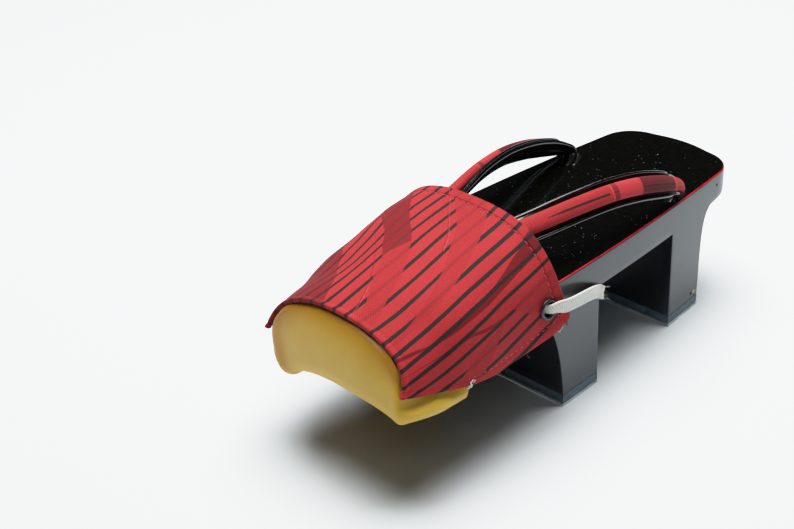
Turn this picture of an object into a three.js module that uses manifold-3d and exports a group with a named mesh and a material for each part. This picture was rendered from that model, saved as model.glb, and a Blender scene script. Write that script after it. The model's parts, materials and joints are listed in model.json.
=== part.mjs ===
// A lacquered two-tooth geta with a rain cover over the toes.
// Millimetres, +Z up, the toe towards -Y. The origin is on the ground, under the middle of the whole sandal.
import * as THREE from "three";
import { mergeVertices } from "three/addons/utils/BufferGeometryUtils.js";
import Module from "manifold-3d";

const wasm = await Module();
wasm.setup();

// ---- driving sizes ----
const gap = 0.3; // between curved pieces that meet
const sliver = 0.015; // edges shorter than this are closed up after a cut
const body = {
  toeY: -117.4,
  heelY: 122,
  rimZ: 63.3,
  undersideZ: 49,
  widestY: -50,
  halfWidth: 41.4,
  fall: 1.84, // half-width lost at fallRun from the widest place
  fallRun: 72,
  toe: { corner: 36, bow: 1.5 },
  heel: { corner: 17.5, bow: 2.6 },
  flare: 2, // how far each side leans out between the rim and the ground
  dish: 1.6, // depth of the hollow of the footbed
};
const teeth = { frontToeY: -24.4, frontHeelY: 0.6, rearToeY: 60, rearHeelY: 87, rubber: 5.6, seam: 0.15 };
const thongHole = { y: -60, radius: 5 };
const strapHole = { top: [30, 69.5, body.rimZ], exit: [28.4, 51.5, body.undersideZ], radius: 4.7 };
const cover = { wall: 1.4, across: 32, along: 13 };
const cap = { wall: 1.15, around: 34, down: 12 };
const eyelet = { u: 0.079, v: 0.885, holeR: 3, barrelR: 3.5, flangeR: 4.7, flange: 0.8, lift: 0.4 };
const thong = { radius: 4.4, loopWidth: 8, loopThick: 1.9, loopY: 9, loopZ: 5.6, centreZ: 74.2 };

// ---- materials ----
const lacquer = new THREE.MeshStandardMaterial({ color: 0x0a0a0b, roughness: 0.12, metalness: 0 });
const soleRubber = new THREE.MeshStandardMaterial({ color: 0x4a5358, roughness: 0.6, metalness: 0 });
const redCloth = new THREE.MeshStandardMaterial({ color: 0xb92b35, roughness: 0.85, metalness: 0 });
const blackEnamel = new THREE.MeshStandardMaterial({ color: 0x0c0c0d, roughness: 0.2, metalness: 0 });
const latex = new THREE.MeshStandardMaterial({ color: 0xc9a64a, roughness: 0.45, metalness: 0 });
const darkSteel = new THREE.MeshStandardMaterial({ color: 0x55585c, roughness: 0.35, metalness: 1 });
const whiteElastic = new THREE.MeshStandardMaterial({ color: 0xdedbd2, roughness: 0.9, metalness: 0 });

// ---- joining and cutting ----
function toSolid(geometry) {
  const bare = geometry.clone();
  bare.deleteAttribute("normal");
  bare.deleteAttribute("uv");
  const merged = mergeVertices(bare, 1e-4);
  const mesh = new wasm.Mesh({
    numProp: 3,
    vertProperties: merged.attributes.position.array,
    triVerts: new Uint32Array(merged.index.array),
  });
  return new wasm.Manifold(mesh);
}

function toGeometry(solid) {
  const mesh = solid.simplify(sliver).getMesh();
  const geometry = new THREE.BufferGeometry();
  geometry.setAttribute("position", new THREE.BufferAttribute(Float32Array.from(mesh.vertProperties), 3));
  geometry.setIndex(new THREE.BufferAttribute(Uint32Array.from(mesh.triVerts), 1));
  return geometry;
}

const cut = (from, ...tools) => toGeometry(tools.reduce((left, tool) => left.subtract(toSolid(tool)), toSolid(from)));
const join = (first, ...others) => toGeometry(others.reduce((sum, one) => sum.add(toSolid(one)), toSolid(first)));
const overlapOf = (a, b) => toGeometry(toSolid(a).intersect(toSolid(b)));

function box(low, high) {
  const size = high.map((value, i) => value - low[i]);
  return new THREE.BoxGeometry(...size).translate(...low.map((value, i) => value + size[i] / 2));
}

function mirrored(geometry) {
  const other = geometry.clone();
  other.scale(-1, 1, 1);
  const index = other.index.array;
  for (let i = 0; i < index.length; i += 3) {
    [index[i + 1], index[i + 2]] = [index[i + 2], index[i + 1]];
  }
  return other;
}

// ---- tables and surfaces ----
// Smooth reading of a table at a value of its key column; every other column is a number or a point.
function readTable(rows, key, at) {
  const last = rows.length - 1;
  const found = rows.findIndex((row, n) => n > 0 && row[key] >= at);
  const i = found < 0 ? last : found;
  const [a, b] = [rows[i - 1], rows[i]];
  const [before, after] = [rows[Math.max(i - 2, 0)], rows[Math.min(i + 1, last)]];
  const span = b[key] - a[key];
  const t = THREE.MathUtils.clamp((at - a[key]) / span, 0, 1);
  const blend = (p, q, r, s) => {
    const startSlope = ((r - p) / (b[key] - before[key])) * span;
    const endSlope = ((s - q) / (after[key] - a[key])) * span;
    const t2 = t * t;
    const t3 = t2 * t;
    return q * (2 * t3 - 3 * t2 + 1) + startSlope * (t3 - 2 * t2 + t) + r * (3 * t2 - 2 * t3) + endSlope * (t3 - t2);
  };
  const column = (name) => {
    if (!Array.isArray(a[name])) return blend(before[name], a[name], b[name], after[name]);
    return a[name].map((_, n) => blend(before[name][n], a[name][n], b[name][n], after[name][n]));
  };
  return Object.fromEntries(Object.keys(a).map((name) => [name, column(name)]));
}

function fromFaces(points, faces) {
  const geometry = new THREE.BufferGeometry().setFromPoints(points);
  geometry.setIndex(faces);
  if (toSolid(geometry).volume() > 0) return geometry;
  for (let i = 0; i < faces.length; i += 3) {
    [faces[i + 1], faces[i + 2]] = [faces[i + 2], faces[i + 1]];
  }
  return geometry.setIndex(faces);
}

// A solid through rings of equal length, closed by a fan at each end.
function skinRings(rings) {
  const count = rings[0].length;
  const faces = [];
  for (let r = 0; r < rings.length - 1; r += 1) {
    for (let i = 0; i < count; i += 1) {
      const a = r * count + i;
      const b = r * count + ((i + 1) % count);
      faces.push(a, b, a + count, b, b + count, a + count);
    }
  }
  const middle = (ring) => ring.reduce((sum, p) => sum.add(p), new THREE.Vector3()).divideScalar(count);
  const points = [...rings.flat(), middle(rings[0]), middle(rings.at(-1))];
  const lastRing = (rings.length - 1) * count;
  for (let i = 0; i < count; i += 1) {
    const j = (i + 1) % count;
    faces.push(points.length - 2, j, i);
    faces.push(points.length - 1, lastRing + i, lastRing + j);
  }
  return fromFaces(points, faces);
}

// A solid between two grids of the same shape, closed along all four edges.
function skinGrids(outer, inner) {
  const [columns, rows] = [outer.length, outer[0].length];
  const points = [...outer.flat(), ...inner.flat()];
  const half = columns * rows;
  const faces = [];
  const quad = (a, b, c, d) => faces.push(a, b, c, a, c, d);
  for (let i = 0; i < columns - 1; i += 1) {
    for (let j = 0; j < rows - 1; j += 1) {
      const a = i * rows + j;
      quad(a, a + rows, a + rows + 1, a + 1);
      quad(half + a, half + a + 1, half + a + rows + 1, half + a + rows);
    }
  }
  for (let i = 0; i < columns - 1; i += 1) {
    const [low, high] = [i * rows, i * rows + rows - 1];
    quad(low, half + low, half + low + rows, low + rows);
    quad(high, high + rows, half + high + rows, half + high);
  }
  for (let j = 0; j < rows - 1; j += 1) {
    const [start, end] = [j, (columns - 1) * rows + j];
    quad(start, start + 1, half + start + 1, half + start);
    quad(end, half + end, half + end + 1, end + 1);
  }
  return fromFaces(points, faces);
}

// A wall of even thickness under the surface point(s, t), s and t from 0 to 1.
function wallUnder(point, columns, rows, wall) {
  const step = 0.004;
  const inset = (s, t) => {
    const across = point(Math.min(s + step, 1), t).sub(point(Math.max(s - step, 0), t));
    const along = point(s, Math.min(t + step, 1)).sub(point(s, Math.max(t - step, 0)));
    return point(s, t).addScaledVector(across.cross(along).normalize(), -wall);
  };
  const grid = (at) =>
    Array.from({ length: columns + 1 }, (_, i) =>
      Array.from({ length: rows + 1 }, (__, j) => at(i / columns, j / rows)),
    );
  return skinGrids(grid(point), grid(inset));
}

// ---- wooden body ----
const sideAt = (y) => body.halfWidth - body.fall * ((y - body.widestY) / body.fallRun) ** 2;
const leanAt = (z) => body.flare * (1 - z / body.rimZ);

// Plan of one end, from the middle out to the side: a bowed edge and a round corner.
function endOutline(y, inward, { corner, bow }) {
  const centreX = sideAt(y + inward * (corner + bow)) - corner;
  const centreY = y + inward * (corner + bow);
  const edge = [0, 0.35, 0.7].map((t) => new THREE.Vector2(t * centreX, y + inward * bow * t * t));
  const round = Array.from({ length: 9 }, (_, i) => {
    const angle = (i / 8) * (Math.PI / 2);
    return new THREE.Vector2(centreX + corner * Math.sin(angle), centreY - inward * corner * Math.cos(angle));
  });
  return [...edge, ...round];
}

function outlinePrism(z0, z1) {
  const toe = endOutline(body.toeY, 1, body.toe);
  const heel = endOutline(body.heelY, -1, body.heel).reverse();
  const steps = 12;
  const side = Array.from({ length: steps - 1 }, (_, i) => {
    const y = THREE.MathUtils.lerp(toe.at(-1).y, heel[0].y, (i + 1) / steps);
    return new THREE.Vector2(sideAt(y), y);
  });
  const half = [...toe, ...side, ...heel];
  const other = half.slice(1, -1).reverse().map((p) => new THREE.Vector2(-p.x, p.y));
  const shape = new THREE.Shape([...half, ...other]);
  const prism = new THREE.ExtrudeGeometry(shape, { depth: z1 - z0, bevelEnabled: false });
  prism.translate(0, 0, z0);
  const position = prism.attributes.position;
  for (let i = 0; i < position.count; i += 1) {
    position.setX(i, position.getX(i) * (1 + leanAt(position.getZ(i)) / body.halfWidth));
  }
  return prism;
}

// Side view: toe overhang, front tooth with a scooped toe side, square gap, rear tooth, heel lip.
function sideProfile() {
  const z = body.undersideZ;
  const floor = teeth.rubber + teeth.seam;
  const shape = new THREE.Shape();
  shape.moveTo(body.toeY - 1, body.rimZ);
  shape.lineTo(body.toeY - 1, z + 9);
  shape.quadraticCurveTo(body.toeY - 1, z + 1.5, body.toeY + 12, z + 0.5);
  shape.lineTo(teeth.frontToeY - 20, z);
  shape.bezierCurveTo(teeth.frontToeY - 7, z, teeth.frontToeY - 2, z - 20, teeth.frontToeY, floor);
  shape.lineTo(teeth.frontHeelY, floor);
  shape.lineTo(teeth.frontHeelY, z);
  shape.lineTo(teeth.rearToeY, z);
  shape.lineTo(teeth.rearToeY, floor);
  shape.lineTo(teeth.rearHeelY, floor);
  shape.bezierCurveTo(teeth.rearHeelY + 0.5, z - 16, teeth.rearHeelY + 1, z - 1, teeth.rearHeelY + 9, z + 0.8);
  shape.lineTo(body.heelY - 14, z + 2);
  shape.quadraticCurveTo(body.heelY - 1, z + 5, body.heelY + 1, body.rimZ - 3);
  shape.lineTo(body.heelY + 1, body.rimZ);
  shape.closePath();
  const profile = new THREE.ExtrudeGeometry(shape, { depth: 120, bevelEnabled: false, curveSegments: 7 });
  profile.translate(0, 0, -60);
  // The drawing's x is the sandal's Y, its y is Z and its depth is X.
  return profile.applyMatrix4(new THREE.Matrix4().set(0, 0, 1, 0, 1, 0, 0, 0, 0, 1, 0, 0, 0, 0, 0, 1));
}

function footbedZ(x, y) {
  const acrossShare = Math.min(1, Math.abs(x) / (sideAt(y) - 1.5));
  const middleY = (body.toeY + body.heelY) / 2;
  const alongShare = Math.min(1, Math.abs(y - middleY) / ((body.heelY - body.toeY) / 2 - 2));
  return body.rimZ - body.dish * (1 - acrossShare ** 3) * (1 - alongShare ** 6);
}

// Everything above the footbed, as one block whose underside is the foot's hollow.
function aboveFootbed() {
  const [columns, rows] = [12, 10];
  const at = (s, t) => {
    const x = THREE.MathUtils.lerp(-47, 47, s);
    const y = THREE.MathUtils.lerp(body.toeY - 4, body.heelY + 4, t);
    return new THREE.Vector3(x, y, footbedZ(x, y));
  };
  const grid = (raise) =>
    Array.from({ length: columns + 1 }, (_, i) =>
      Array.from({ length: rows + 1 }, (__, j) => {
        const p = at(i / columns, j / rows);
        return raise ? p.setZ(body.rimZ + 15) : p;
      }),
    );
  return skinGrids(grid(true), grid(false));
}

function rod(from, to, radius, sides = 14) {
  const [start, end] = [new THREE.Vector3(...from), new THREE.Vector3(...to)];
  const bar = new THREE.CylinderGeometry(radius, radius, start.distanceTo(end), sides);
  const axis = end.clone().sub(start).normalize();
  bar.applyQuaternion(new THREE.Quaternion().setFromUnitVectors(new THREE.Vector3(0, 1, 0), axis));
  return bar.translate(...start.add(end).multiplyScalar(0.5).toArray());
}

// The strap holes slope forwards, so that they come out ahead of the rear tooth.
function strapDrill(side) {
  const ends = [strapHole.top, strapHole.exit].map(([x, y, z]) => new THREE.Vector3(side * x, y, z));
  const along = ends[0].clone().sub(ends[1]).multiplyScalar(0.6);
  return rod(ends[0].clone().add(along).toArray(), ends[1].clone().sub(along).toArray(), strapHole.radius);
}

function woodenBody() {
  const blank = overlapOf(outlinePrism(0, body.rimZ), sideProfile());
  const front = rod([0, thongHole.y, body.rimZ + 9], [0, thongHole.y, body.undersideZ - 9], thongHole.radius);
  return cut(blank, aboveFootbed(), front, strapDrill(1), strapDrill(-1));
}

const toothSole = (y0, y1) =>
  overlapOf(outlinePrism(0, teeth.rubber), box([-60, y0, -1], [60, y1, teeth.rubber + 1]));

// ---- toe cover ----
// From the toe edge (v 0) to the edge over the instep (v 1). foot is the lower edge, crown the top of the arch.
const coverSections = [
  { v: 0, footY: -120.4, footZ: 50.4, halfFoot: 38.4, crownY: -115.4, crownZ: 71.5, square: 2.12 },
  { v: 0.09, footY: -112.6, footZ: 48.6, halfFoot: 40.6, crownY: -108.2, crownZ: 73.6, square: 2.35 },
  { v: 0.2, footY: -103, footZ: 46.6, halfFoot: 42.4, crownY: -99.4, crownZ: 76.2, square: 2.55 },
  { v: 0.3, footY: -93.5, footZ: 44.6, halfFoot: 44.4, crownY: -91.5, crownZ: 78.3, square: 2.9 },
  { v: 0.4, footY: -84, footZ: 42.8, halfFoot: 45.1, crownY: -83.5, crownZ: 80.2, square: 3.2 },
  { v: 0.6, footY: -63, footZ: 40.2, halfFoot: 45.4, crownY: -67.4, crownZ: 83.6, square: 3.1 },
  { v: 0.8, footY: -43, footZ: 40.7, halfFoot: 45.9, crownY: -51.2, crownZ: 87.2, square: 2.9 },
  { v: 0.92, footY: -31.5, footZ: 41.8, halfFoot: 46.2, crownY: -41.2, crownZ: 89.6, square: 2.8 },
  { v: 1, footY: -23.6, footZ: 45.9, halfFoot: 46.2, crownY: -34.6, crownZ: 91.6, square: 2.75 },
];

// u runs round the arch from the +X foot (0) to the -X foot (1).
function coverPoint(u, v) {
  const row = readTable(coverSections, "v", v);
  const angle = u * Math.PI;
  const rise = Math.max(0, Math.sin(angle)) ** (2 / row.square);
  const reach = Math.sign(Math.cos(angle)) * Math.abs(Math.cos(angle)) ** (2 / row.square);
  const towardsCrown = 1 - (1 - rise) ** 2.8;
  return new THREE.Vector3(
    row.halfFoot * reach,
    THREE.MathUtils.lerp(row.footY, row.crownY, towardsCrown),
    THREE.MathUtils.lerp(row.footZ, row.crownZ, rise),
  );
}

// Middle of the wall and outward direction at an eyelet, side 1 or -1.
function eyeletSeat(side) {
  const { u, v } = eyelet;
  const across = coverPoint(u + 0.01, v).sub(coverPoint(u - 0.01, v));
  const along = coverPoint(u, v + 0.01).sub(coverPoint(u, v - 0.01));
  const out = along.cross(across).normalize();
  if (out.x < 0) out.negate();
  const at = coverPoint(u, v).addScaledVector(out, -cover.wall / 2);
  const flip = new THREE.Vector3(side, 1, 1);
  return { at: at.multiply(flip), out: out.multiply(flip) };
}

function toeCover() {
  const shell = wallUnder((s, t) => coverPoint(1 - s, t), cover.across, cover.along, cover.wall);
  const punches = [1, -1].map((side) => {
    const { at, out } = eyeletSeat(side);
    const reach = out.clone().multiplyScalar(6);
    return rod(at.clone().add(reach).toArray(), at.clone().sub(reach).toArray(), eyelet.barrelR + gap, 20);
  });
  return cut(shell, ...punches);
}

// ---- rubber toe cap ----
// Stations round the nose, from the end of the side flap (s 0) to the middle of the front (s 1). Each runs down
// its outside: tucked under the cover, out past its edge, over the belly, round the fold and under the board.
const capStations = [
  { s: 0, tuck: [42.5, -86, 53], brim: [42.5, -86.3, 49], face: [42.4, -87, 45.6], belly: [42.8, -88, 43.4],
    lip: [43.8, -89.5, 41.9], fold: [43, -90.5, 40.4], under: [41, -90.5, 40.8], end: [39.8, -90.5, 43] },
  { s: 0.2, tuck: [40.6, -98, 53], brim: [40.7, -98.4, 49], face: [40.7, -98.8, 46.4], belly: [42, -99.4, 44.2],
    lip: [44.2, -100.4, 42.4], fold: [43.8, -101, 40.4], under: [41.8, -101, 40.2], end: [38.2, -100, 43.8] },
  { s: 0.36, tuck: [38.6, -105.4, 54], brim: [38.8, -106, 50], face: [39, -106.6, 46.8], belly: [40.8, -107.2, 44.6],
    lip: [43.6, -108.6, 42.6], fold: [43.4, -109.4, 40.4], under: [40.8, -109, 39.8], end: [35.8, -106, 44] },
  { s: 0.48, tuck: [36, -111.6, 56.5], brim: [36.4, -112.8, 52], face: [37.9, -114.2, 48.4], belly: [39.4, -115.6, 45.4],
    lip: [41.8, -117.2, 42.8], fold: [41.6, -117.6, 40], under: [38.8, -115.6, 39], end: [33, -109.4, 44.4] },
  { s: 0.6, tuck: [33.6, -115.4, 59], brim: [34.8, -117.8, 55.4], face: [36.2, -119.4, 51], belly: [37.6, -120.8, 46.6],
    lip: [38.8, -121.8, 42.6], fold: [38.4, -121, 39.2], under: [35.6, -117.6, 38.6], end: [29.4, -110.6, 45] },
  { s: 0.7, tuck: [28.6, -115.4, 63.4], brim: [29.4, -117.5, 60.4], face: [31, -119.6, 54], belly: [32.6, -121, 48.6],
    lip: [33.2, -121.9, 43], fold: [32.8, -120.6, 39.8], under: [31, -116.6, 39.8], end: [26.4, -109.4, 45.4] },
  { s: 0.8, tuck: [20.4, -113.8, 66.6], brim: [21.8, -116.5, 64.8], face: [23.6, -119.7, 57.5], belly: [25, -121.4, 50.5],
    lip: [25, -121.9, 44.4], fold: [24.6, -120.4, 40.8], under: [23.6, -115.6, 41], end: [21, -108, 45.8] },
  { s: 0.9, tuck: [10.4, -113.2, 69.1], brim: [11.4, -116, 67.7], face: [12.6, -119.6, 61], belly: [13, -121.6, 52],
    lip: [13, -121.9, 44.8], fold: [13, -120.2, 41.2], under: [12, -115.2, 41.6], end: [11, -106.6, 46] },
  { s: 1, tuck: [0, -113, 69.6], brim: [0, -115.8, 68.4], face: [0, -119.6, 61.5], belly: [0, -121.7, 52.5],
    lip: [0, -121.9, 45], fold: [0, -120, 41.5], under: [0, -115, 42.1], end: [0, -106, 46.2] },
];
const capSag = { s: 0.68, width: 0.17, drop: 6, inwards: 7.5 };
const capLevels = ["tuck", "brim", "face", "belly", "lip", "fold", "under", "end"];

function capPoint(s, t) {
  const share = 1 - Math.abs(2 * s - 1);
  const station = readTable(capStations, "s", share);
  const profile = new THREE.CatmullRomCurve3(
    capLevels.map((level) => new THREE.Vector3(...station[level])),
    false,
    "centripetal",
  );
  const point = profile.getPoint(t);
  if (s <= 0.5) return point;
  // The -X corner hangs lower than the other, and further in.
  const slack = Math.exp(-(((share - capSag.s) / capSag.width) ** 2)) * THREE.MathUtils.smoothstep(t, 0.12, 0.62);
  point.z -= capSag.drop * slack;
  return point.setX(capSag.inwards * slack - point.x);
}

const toeRubber = () => wallUnder((s, t) => capPoint(s, t), cap.around, cap.down, cap.wall);

// ---- straps ----
// The +X strap from the crossing to its hole: centre of the tube, the way its top faces, size of its section.
const strapStations = [
  { s: 0, at: [-2, -61.5, 73.8], face: [0.1, -0.05, 1], size: 0.78 },
  { s: 1, at: [5.5, -54.8, 75], face: [0.2, -0.1, 0.98], size: 0.9 },
  { s: 2, at: [13, -44.6, 77.4], face: [0.36, -0.14, 0.92], size: 1 },
  { s: 3, at: [19.4, -31.5, 79.6], face: [0.5, -0.14, 0.85], size: 1 },
  { s: 4, at: [22.6, -20, 80.7], face: [0.6, -0.1, 0.79], size: 1 },
  { s: 5, at: [26.9, 0, 82.4], face: [0.74, 0, 0.67], size: 1 },
  { s: 6, at: [30.1, 20, 82.3], face: [0.8, 0.05, 0.6], size: 1 },
  { s: 7, at: [31.9, 38, 79.6], face: [0.83, 0.12, 0.55], size: 1 },
  { s: 8, at: [32.9, 52, 75.8], face: [0.83, 0.2, 0.52], size: 0.95 },
  { s: 9, at: [33, 61.5, 72.4], face: [0.8, 0.42, 0.43], size: 0.84 },
  { s: 10, at: [32.4, 68.4, 69], face: [0.66, 0.7, 0.25], size: 0.7 },
  { s: 11, at: [31.2, 71.8, 65.8], face: [0.45, 0.88, -0.2], size: 0.6 },
  { s: 12, at: [30, 69.3, 62.6], face: [0.2, 0.66, -0.75], size: 0.53 },
  { s: 13, at: [29.2, 60.7, 55.8], face: [0.1, 0.62, -0.78], size: 0.54 },
  { s: 14, at: [28.8, 56.2, 52.2], face: [0.1, 0.62, -0.78], size: 0.54 },
];
const tubeSection = { half: 3.9, top: 4.2, base: 0.4 };
const liningSection = { half: 6.4, top: 3.3, base: -3.7 };

// Rings of a section carried along the strap; grow swells the section by that many millimetres.
function strapRings(loopAt, grow) {
  const steps = 28;
  return Array.from({ length: steps + 1 }, (_, i) => {
    const place = (i / steps) * (strapStations.length - 1);
    const row = readTable(strapStations, "s", place);
    const ahead = new THREE.Vector3(...readTable(strapStations, "s", place + 0.02).at);
    const behind = new THREE.Vector3(...readTable(strapStations, "s", place - 0.02).at);
    const tangent = ahead.sub(behind).normalize();
    const face = new THREE.Vector3(...row.face);
    face.addScaledVector(tangent, -face.dot(tangent)).normalize();
    const side = tangent.clone().cross(face);
    const beyond = (i === 0 ? -1 : 0) + (i === steps ? 1 : 0);
    const centre = new THREE.Vector3(...row.at).addScaledVector(tangent, beyond * grow);
    return loopAt(row).map(([w, h]) => centre.clone().addScaledVector(side, w).addScaledVector(face, h));
  });
}

// A domed top on a flatter base, both fading into round edges.
function roundLoop(half, top, base, topPower, basePower, count = 12) {
  const level = (top + base) / 2;
  return Array.from({ length: count }, (_, i) => {
    const angle = (i / count) * 2 * Math.PI;
    const power = Math.sin(angle) >= 0 ? topPower : basePower;
    const w = half * Math.sign(Math.cos(angle)) * Math.abs(Math.cos(angle)) ** (2 / power);
    const share = Math.sign(Math.sin(angle)) * Math.abs(Math.sin(angle)) ** (2 / power);
    return [w, level + (share * (top - base)) / 2];
  });
}

function strapTube(grow = 0) {
  const { half, top, base } = tubeSection;
  const section = ({ size }) => roundLoop(half * size + grow, top * size + grow, base * size - grow, 2.3, 3);
  return skinRings(strapRings(section, grow));
}

function strapLining(grow = 0) {
  const { half, top, base } = liningSection;
  const section = ({ size }) => roundLoop(half * size + grow, top * size + grow, base * size - grow, 2.4, 2.2);
  return skinRings(strapRings(section, grow));
}

const strapTops = (grow) => join(strapTube(grow), mirrored(strapTube(grow)));
const bothLinings = (grow) => join(strapLining(grow), mirrored(strapLining(grow)));

function largestPart(geometry) {
  const parts = toSolid(geometry).decompose();
  return toGeometry(parts.reduce((best, part) => (part.volume() > best.volume() ? part : best)));
}

const strapLinings = () => largestPart(cut(bothLinings(0), strapTops(gap)));

// The post between the toes and the loop that holds the crossing.
function frontThong() {
  const post = rod([0, thongHole.y, body.undersideZ + 0.5], [0, thongHole.y, thong.centreZ - 4], thong.radius, 16);
  const steps = 20;
  const rings = Array.from({ length: steps }, (_, i) => {
    const angle = (i / steps) * 2 * Math.PI;
    const out = new THREE.Vector3(0, Math.cos(angle) / thong.loopY, Math.sin(angle) / thong.loopZ).normalize();
    const middle = new THREE.Vector3(
      0,
      thongHole.y + (thong.loopY + thong.loopThick / 2) * Math.cos(angle),
      thong.centreZ + (thong.loopZ + thong.loopThick / 2) * Math.sin(angle),
    );
    return roundLoop(thong.loopWidth / 2, thong.loopThick / 2, -thong.loopThick / 2, 3, 3, 8).map(([w, h]) =>
      middle.clone().add(new THREE.Vector3(w, 0, 0)).addScaledVector(out, h),
    );
  });
  const count = rings[0].length;
  const faces = [];
  rings.forEach((_, r) => {
    const next = (r + 1) % steps;
    for (let i = 0; i < count; i += 1) {
      const j = (i + 1) % count;
      faces.push(r * count + i, r * count + j, next * count + i);
      faces.push(r * count + j, next * count + j, next * count + i);
    }
  });
  const loop = fromFaces(rings.flat(), faces);
  return cut(join(post, loop), strapTops(gap), bothLinings(gap));
}

// ---- eyelets and tie band ----
function eyeletRing(side) {
  const { holeR, barrelR, flangeR, flange, lift } = eyelet;
  const step = cover.wall / 2 + lift;
  const profile = [
    [holeR, -step - flange * 0.6],
    [holeR + 0.6, -step - flange],
    [flangeR - 0.4, -step - flange],
    [flangeR, -step],
    [barrelR, -step],
    [barrelR, step],
    [flangeR, step],
    [flangeR - 0.4, step + flange],
    [holeR + 0.6, step + flange],
    [holeR, step + flange * 0.6],
    [holeR, -step - flange * 0.6],
  ].map(([r, h]) => new THREE.Vector2(r, h));
  const ring = new THREE.LatheGeometry(profile, 18);
  const { at, out } = eyeletSeat(side);
  ring.applyQuaternion(new THREE.Quaternion().setFromUnitVectors(new THREE.Vector3(0, 1, 0), out));
  return ring.translate(...at.toArray());
}

// Half of the band, from its tail inside the +X eyelet, round the front tooth, to the middle behind it.
const hub = eyeletSeat(1).at;
const bandStations = [
  { s: 0, at: [hub.x - 1.5, hub.y - 1.3, hub.z], width: 3.8 },
  { s: 1, at: [hub.x + 1.8, hub.y + 0.7, hub.z - 0.1], width: 3.6 },
  { s: 2, at: [hub.x + 3.25, hub.y + 4.4, hub.z - 0.8], width: 4.2 },
  { s: 3, at: [47.6, -30, 54.8], width: 5.8 },
  { s: 4, at: [47.2, -22, 53], width: 6.3 },
  { s: 5, at: [44.7, -11, 50.4], width: 6.3 },
  { s: 6, at: [42.5, -2.6, 47.7], width: 6.1 },
  { s: 7, at: [42, 1.25, 45.9], width: 5.9 },
  { s: 8, at: [39.2, 1.95, 45.35], width: 6.1 },
  { s: 9, at: [20, 1.6, 45.3], width: 6.3 },
  { s: 10, at: [0, 1.6, 45.3], width: 6.3 },
];

function tieBand() {
  const last = bandStations.length - 1;
  const mirroredRows = bandStations.slice(0, -1).reverse().map(({ s, at: [x, y, z], width }) => ({
    s: 2 * last - s,
    at: [-x, y, z],
    width,
  }));
  const rows = [...bandStations, ...mirroredRows];
  const steps = 60;
  const halfThick = 0.55;
  const rings = Array.from({ length: steps + 1 }, (_, i) => {
    const place = (i / steps) * 2 * last;
    const row = readTable(rows, "s", place);
    const tangent = new THREE.Vector3(...readTable(rows, "s", place + 0.02).at);
    tangent.sub(new THREE.Vector3(...readTable(rows, "s", place - 0.02).at)).normalize();
    const up = new THREE.Vector3(0, 0, 1);
    up.addScaledVector(tangent, -up.z * tangent.z).normalize();
    const out = tangent.clone().cross(up);
    return roundLoop(row.width / 2, halfThick, -halfThick, 5, 5, 8).map(([w, h]) =>
      new THREE.Vector3(...row.at).addScaledVector(up, w).addScaledVector(out, h),
    );
  });
  return skinRings(rings);
}

// ---- assembly ----
const pieces = [
  ["platform", woodenBody(), lacquer],
  ["front_tread", toothSole(teeth.frontToeY, teeth.frontHeelY), soleRubber],
  ["rear_tread", toothSole(teeth.rearToeY, teeth.rearHeelY), soleRubber],
  ["strap_tops", strapTops(0), redCloth],
  ["strap_linings", strapLinings(), blackEnamel],
  ["front_thong", frontThong(), redCloth],
  ["toe_cover", toeCover(), redCloth],
  ["toe_rubber", toeRubber(), latex],
  ["eyelet_right", eyeletRing(1), darkSteel],
  ["eyelet_left", eyeletRing(-1), darkSteel],
  ["tie_band", tieBand(), whiteElastic],
];
const geta = new THREE.Group();
const extent = new THREE.Box3();
pieces.forEach(([name, geometry, material]) => {
  const mesh = new THREE.Mesh(toGeometry(toSolid(geometry)), material);
  mesh.name = name;
  geta.add(mesh);
  extent.expandByObject(mesh);
});
// The middle of the whole sandal, toe rubber included, sits on the origin.
const middle = extent.getCenter(new THREE.Vector3());
geta.children.forEach((mesh) => mesh.geometry.translate(-middle.x, -middle.y, -extent.min.z));

export default geta;
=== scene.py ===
import json
import math
import bmesh
import bpy
import numpy as np
from mathutils import Matrix, Vector

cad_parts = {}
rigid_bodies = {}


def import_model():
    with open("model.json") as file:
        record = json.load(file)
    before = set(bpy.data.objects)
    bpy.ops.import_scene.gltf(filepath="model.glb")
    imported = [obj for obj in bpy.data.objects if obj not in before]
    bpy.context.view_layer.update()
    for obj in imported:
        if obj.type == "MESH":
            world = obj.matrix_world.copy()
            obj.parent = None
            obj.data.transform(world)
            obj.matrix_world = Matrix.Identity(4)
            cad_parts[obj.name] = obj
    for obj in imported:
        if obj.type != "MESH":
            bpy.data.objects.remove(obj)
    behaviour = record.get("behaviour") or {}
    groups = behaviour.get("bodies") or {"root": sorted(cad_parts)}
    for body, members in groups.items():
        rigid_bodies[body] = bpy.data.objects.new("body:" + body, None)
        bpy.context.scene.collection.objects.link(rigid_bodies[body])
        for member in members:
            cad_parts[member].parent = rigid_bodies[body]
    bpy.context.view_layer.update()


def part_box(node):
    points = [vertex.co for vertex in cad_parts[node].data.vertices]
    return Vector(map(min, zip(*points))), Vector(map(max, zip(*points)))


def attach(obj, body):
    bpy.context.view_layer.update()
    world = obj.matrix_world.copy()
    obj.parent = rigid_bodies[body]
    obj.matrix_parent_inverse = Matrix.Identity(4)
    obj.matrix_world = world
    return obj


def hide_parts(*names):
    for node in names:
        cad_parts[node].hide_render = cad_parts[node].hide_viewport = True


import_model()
scene = bpy.context.scene
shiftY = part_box("platform")[1].y * 1000 - 122  # the drawing's heel is at 122 mm, and the frame is centred
print("frame loaded, shift", round(shiftY, 3), "mm")


# Shapes are worked out in millimetres and turned to metres where a mesh is made.
def hexColour(code):
    values = [int(code[i:i + 2], 16) / 255 for i in (1, 3, 5)]
    return tuple(v / 12.92 if v <= 0.04045 else ((v + 0.055) / 1.055) ** 2.4 for v in values) + (1.0,)


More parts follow.
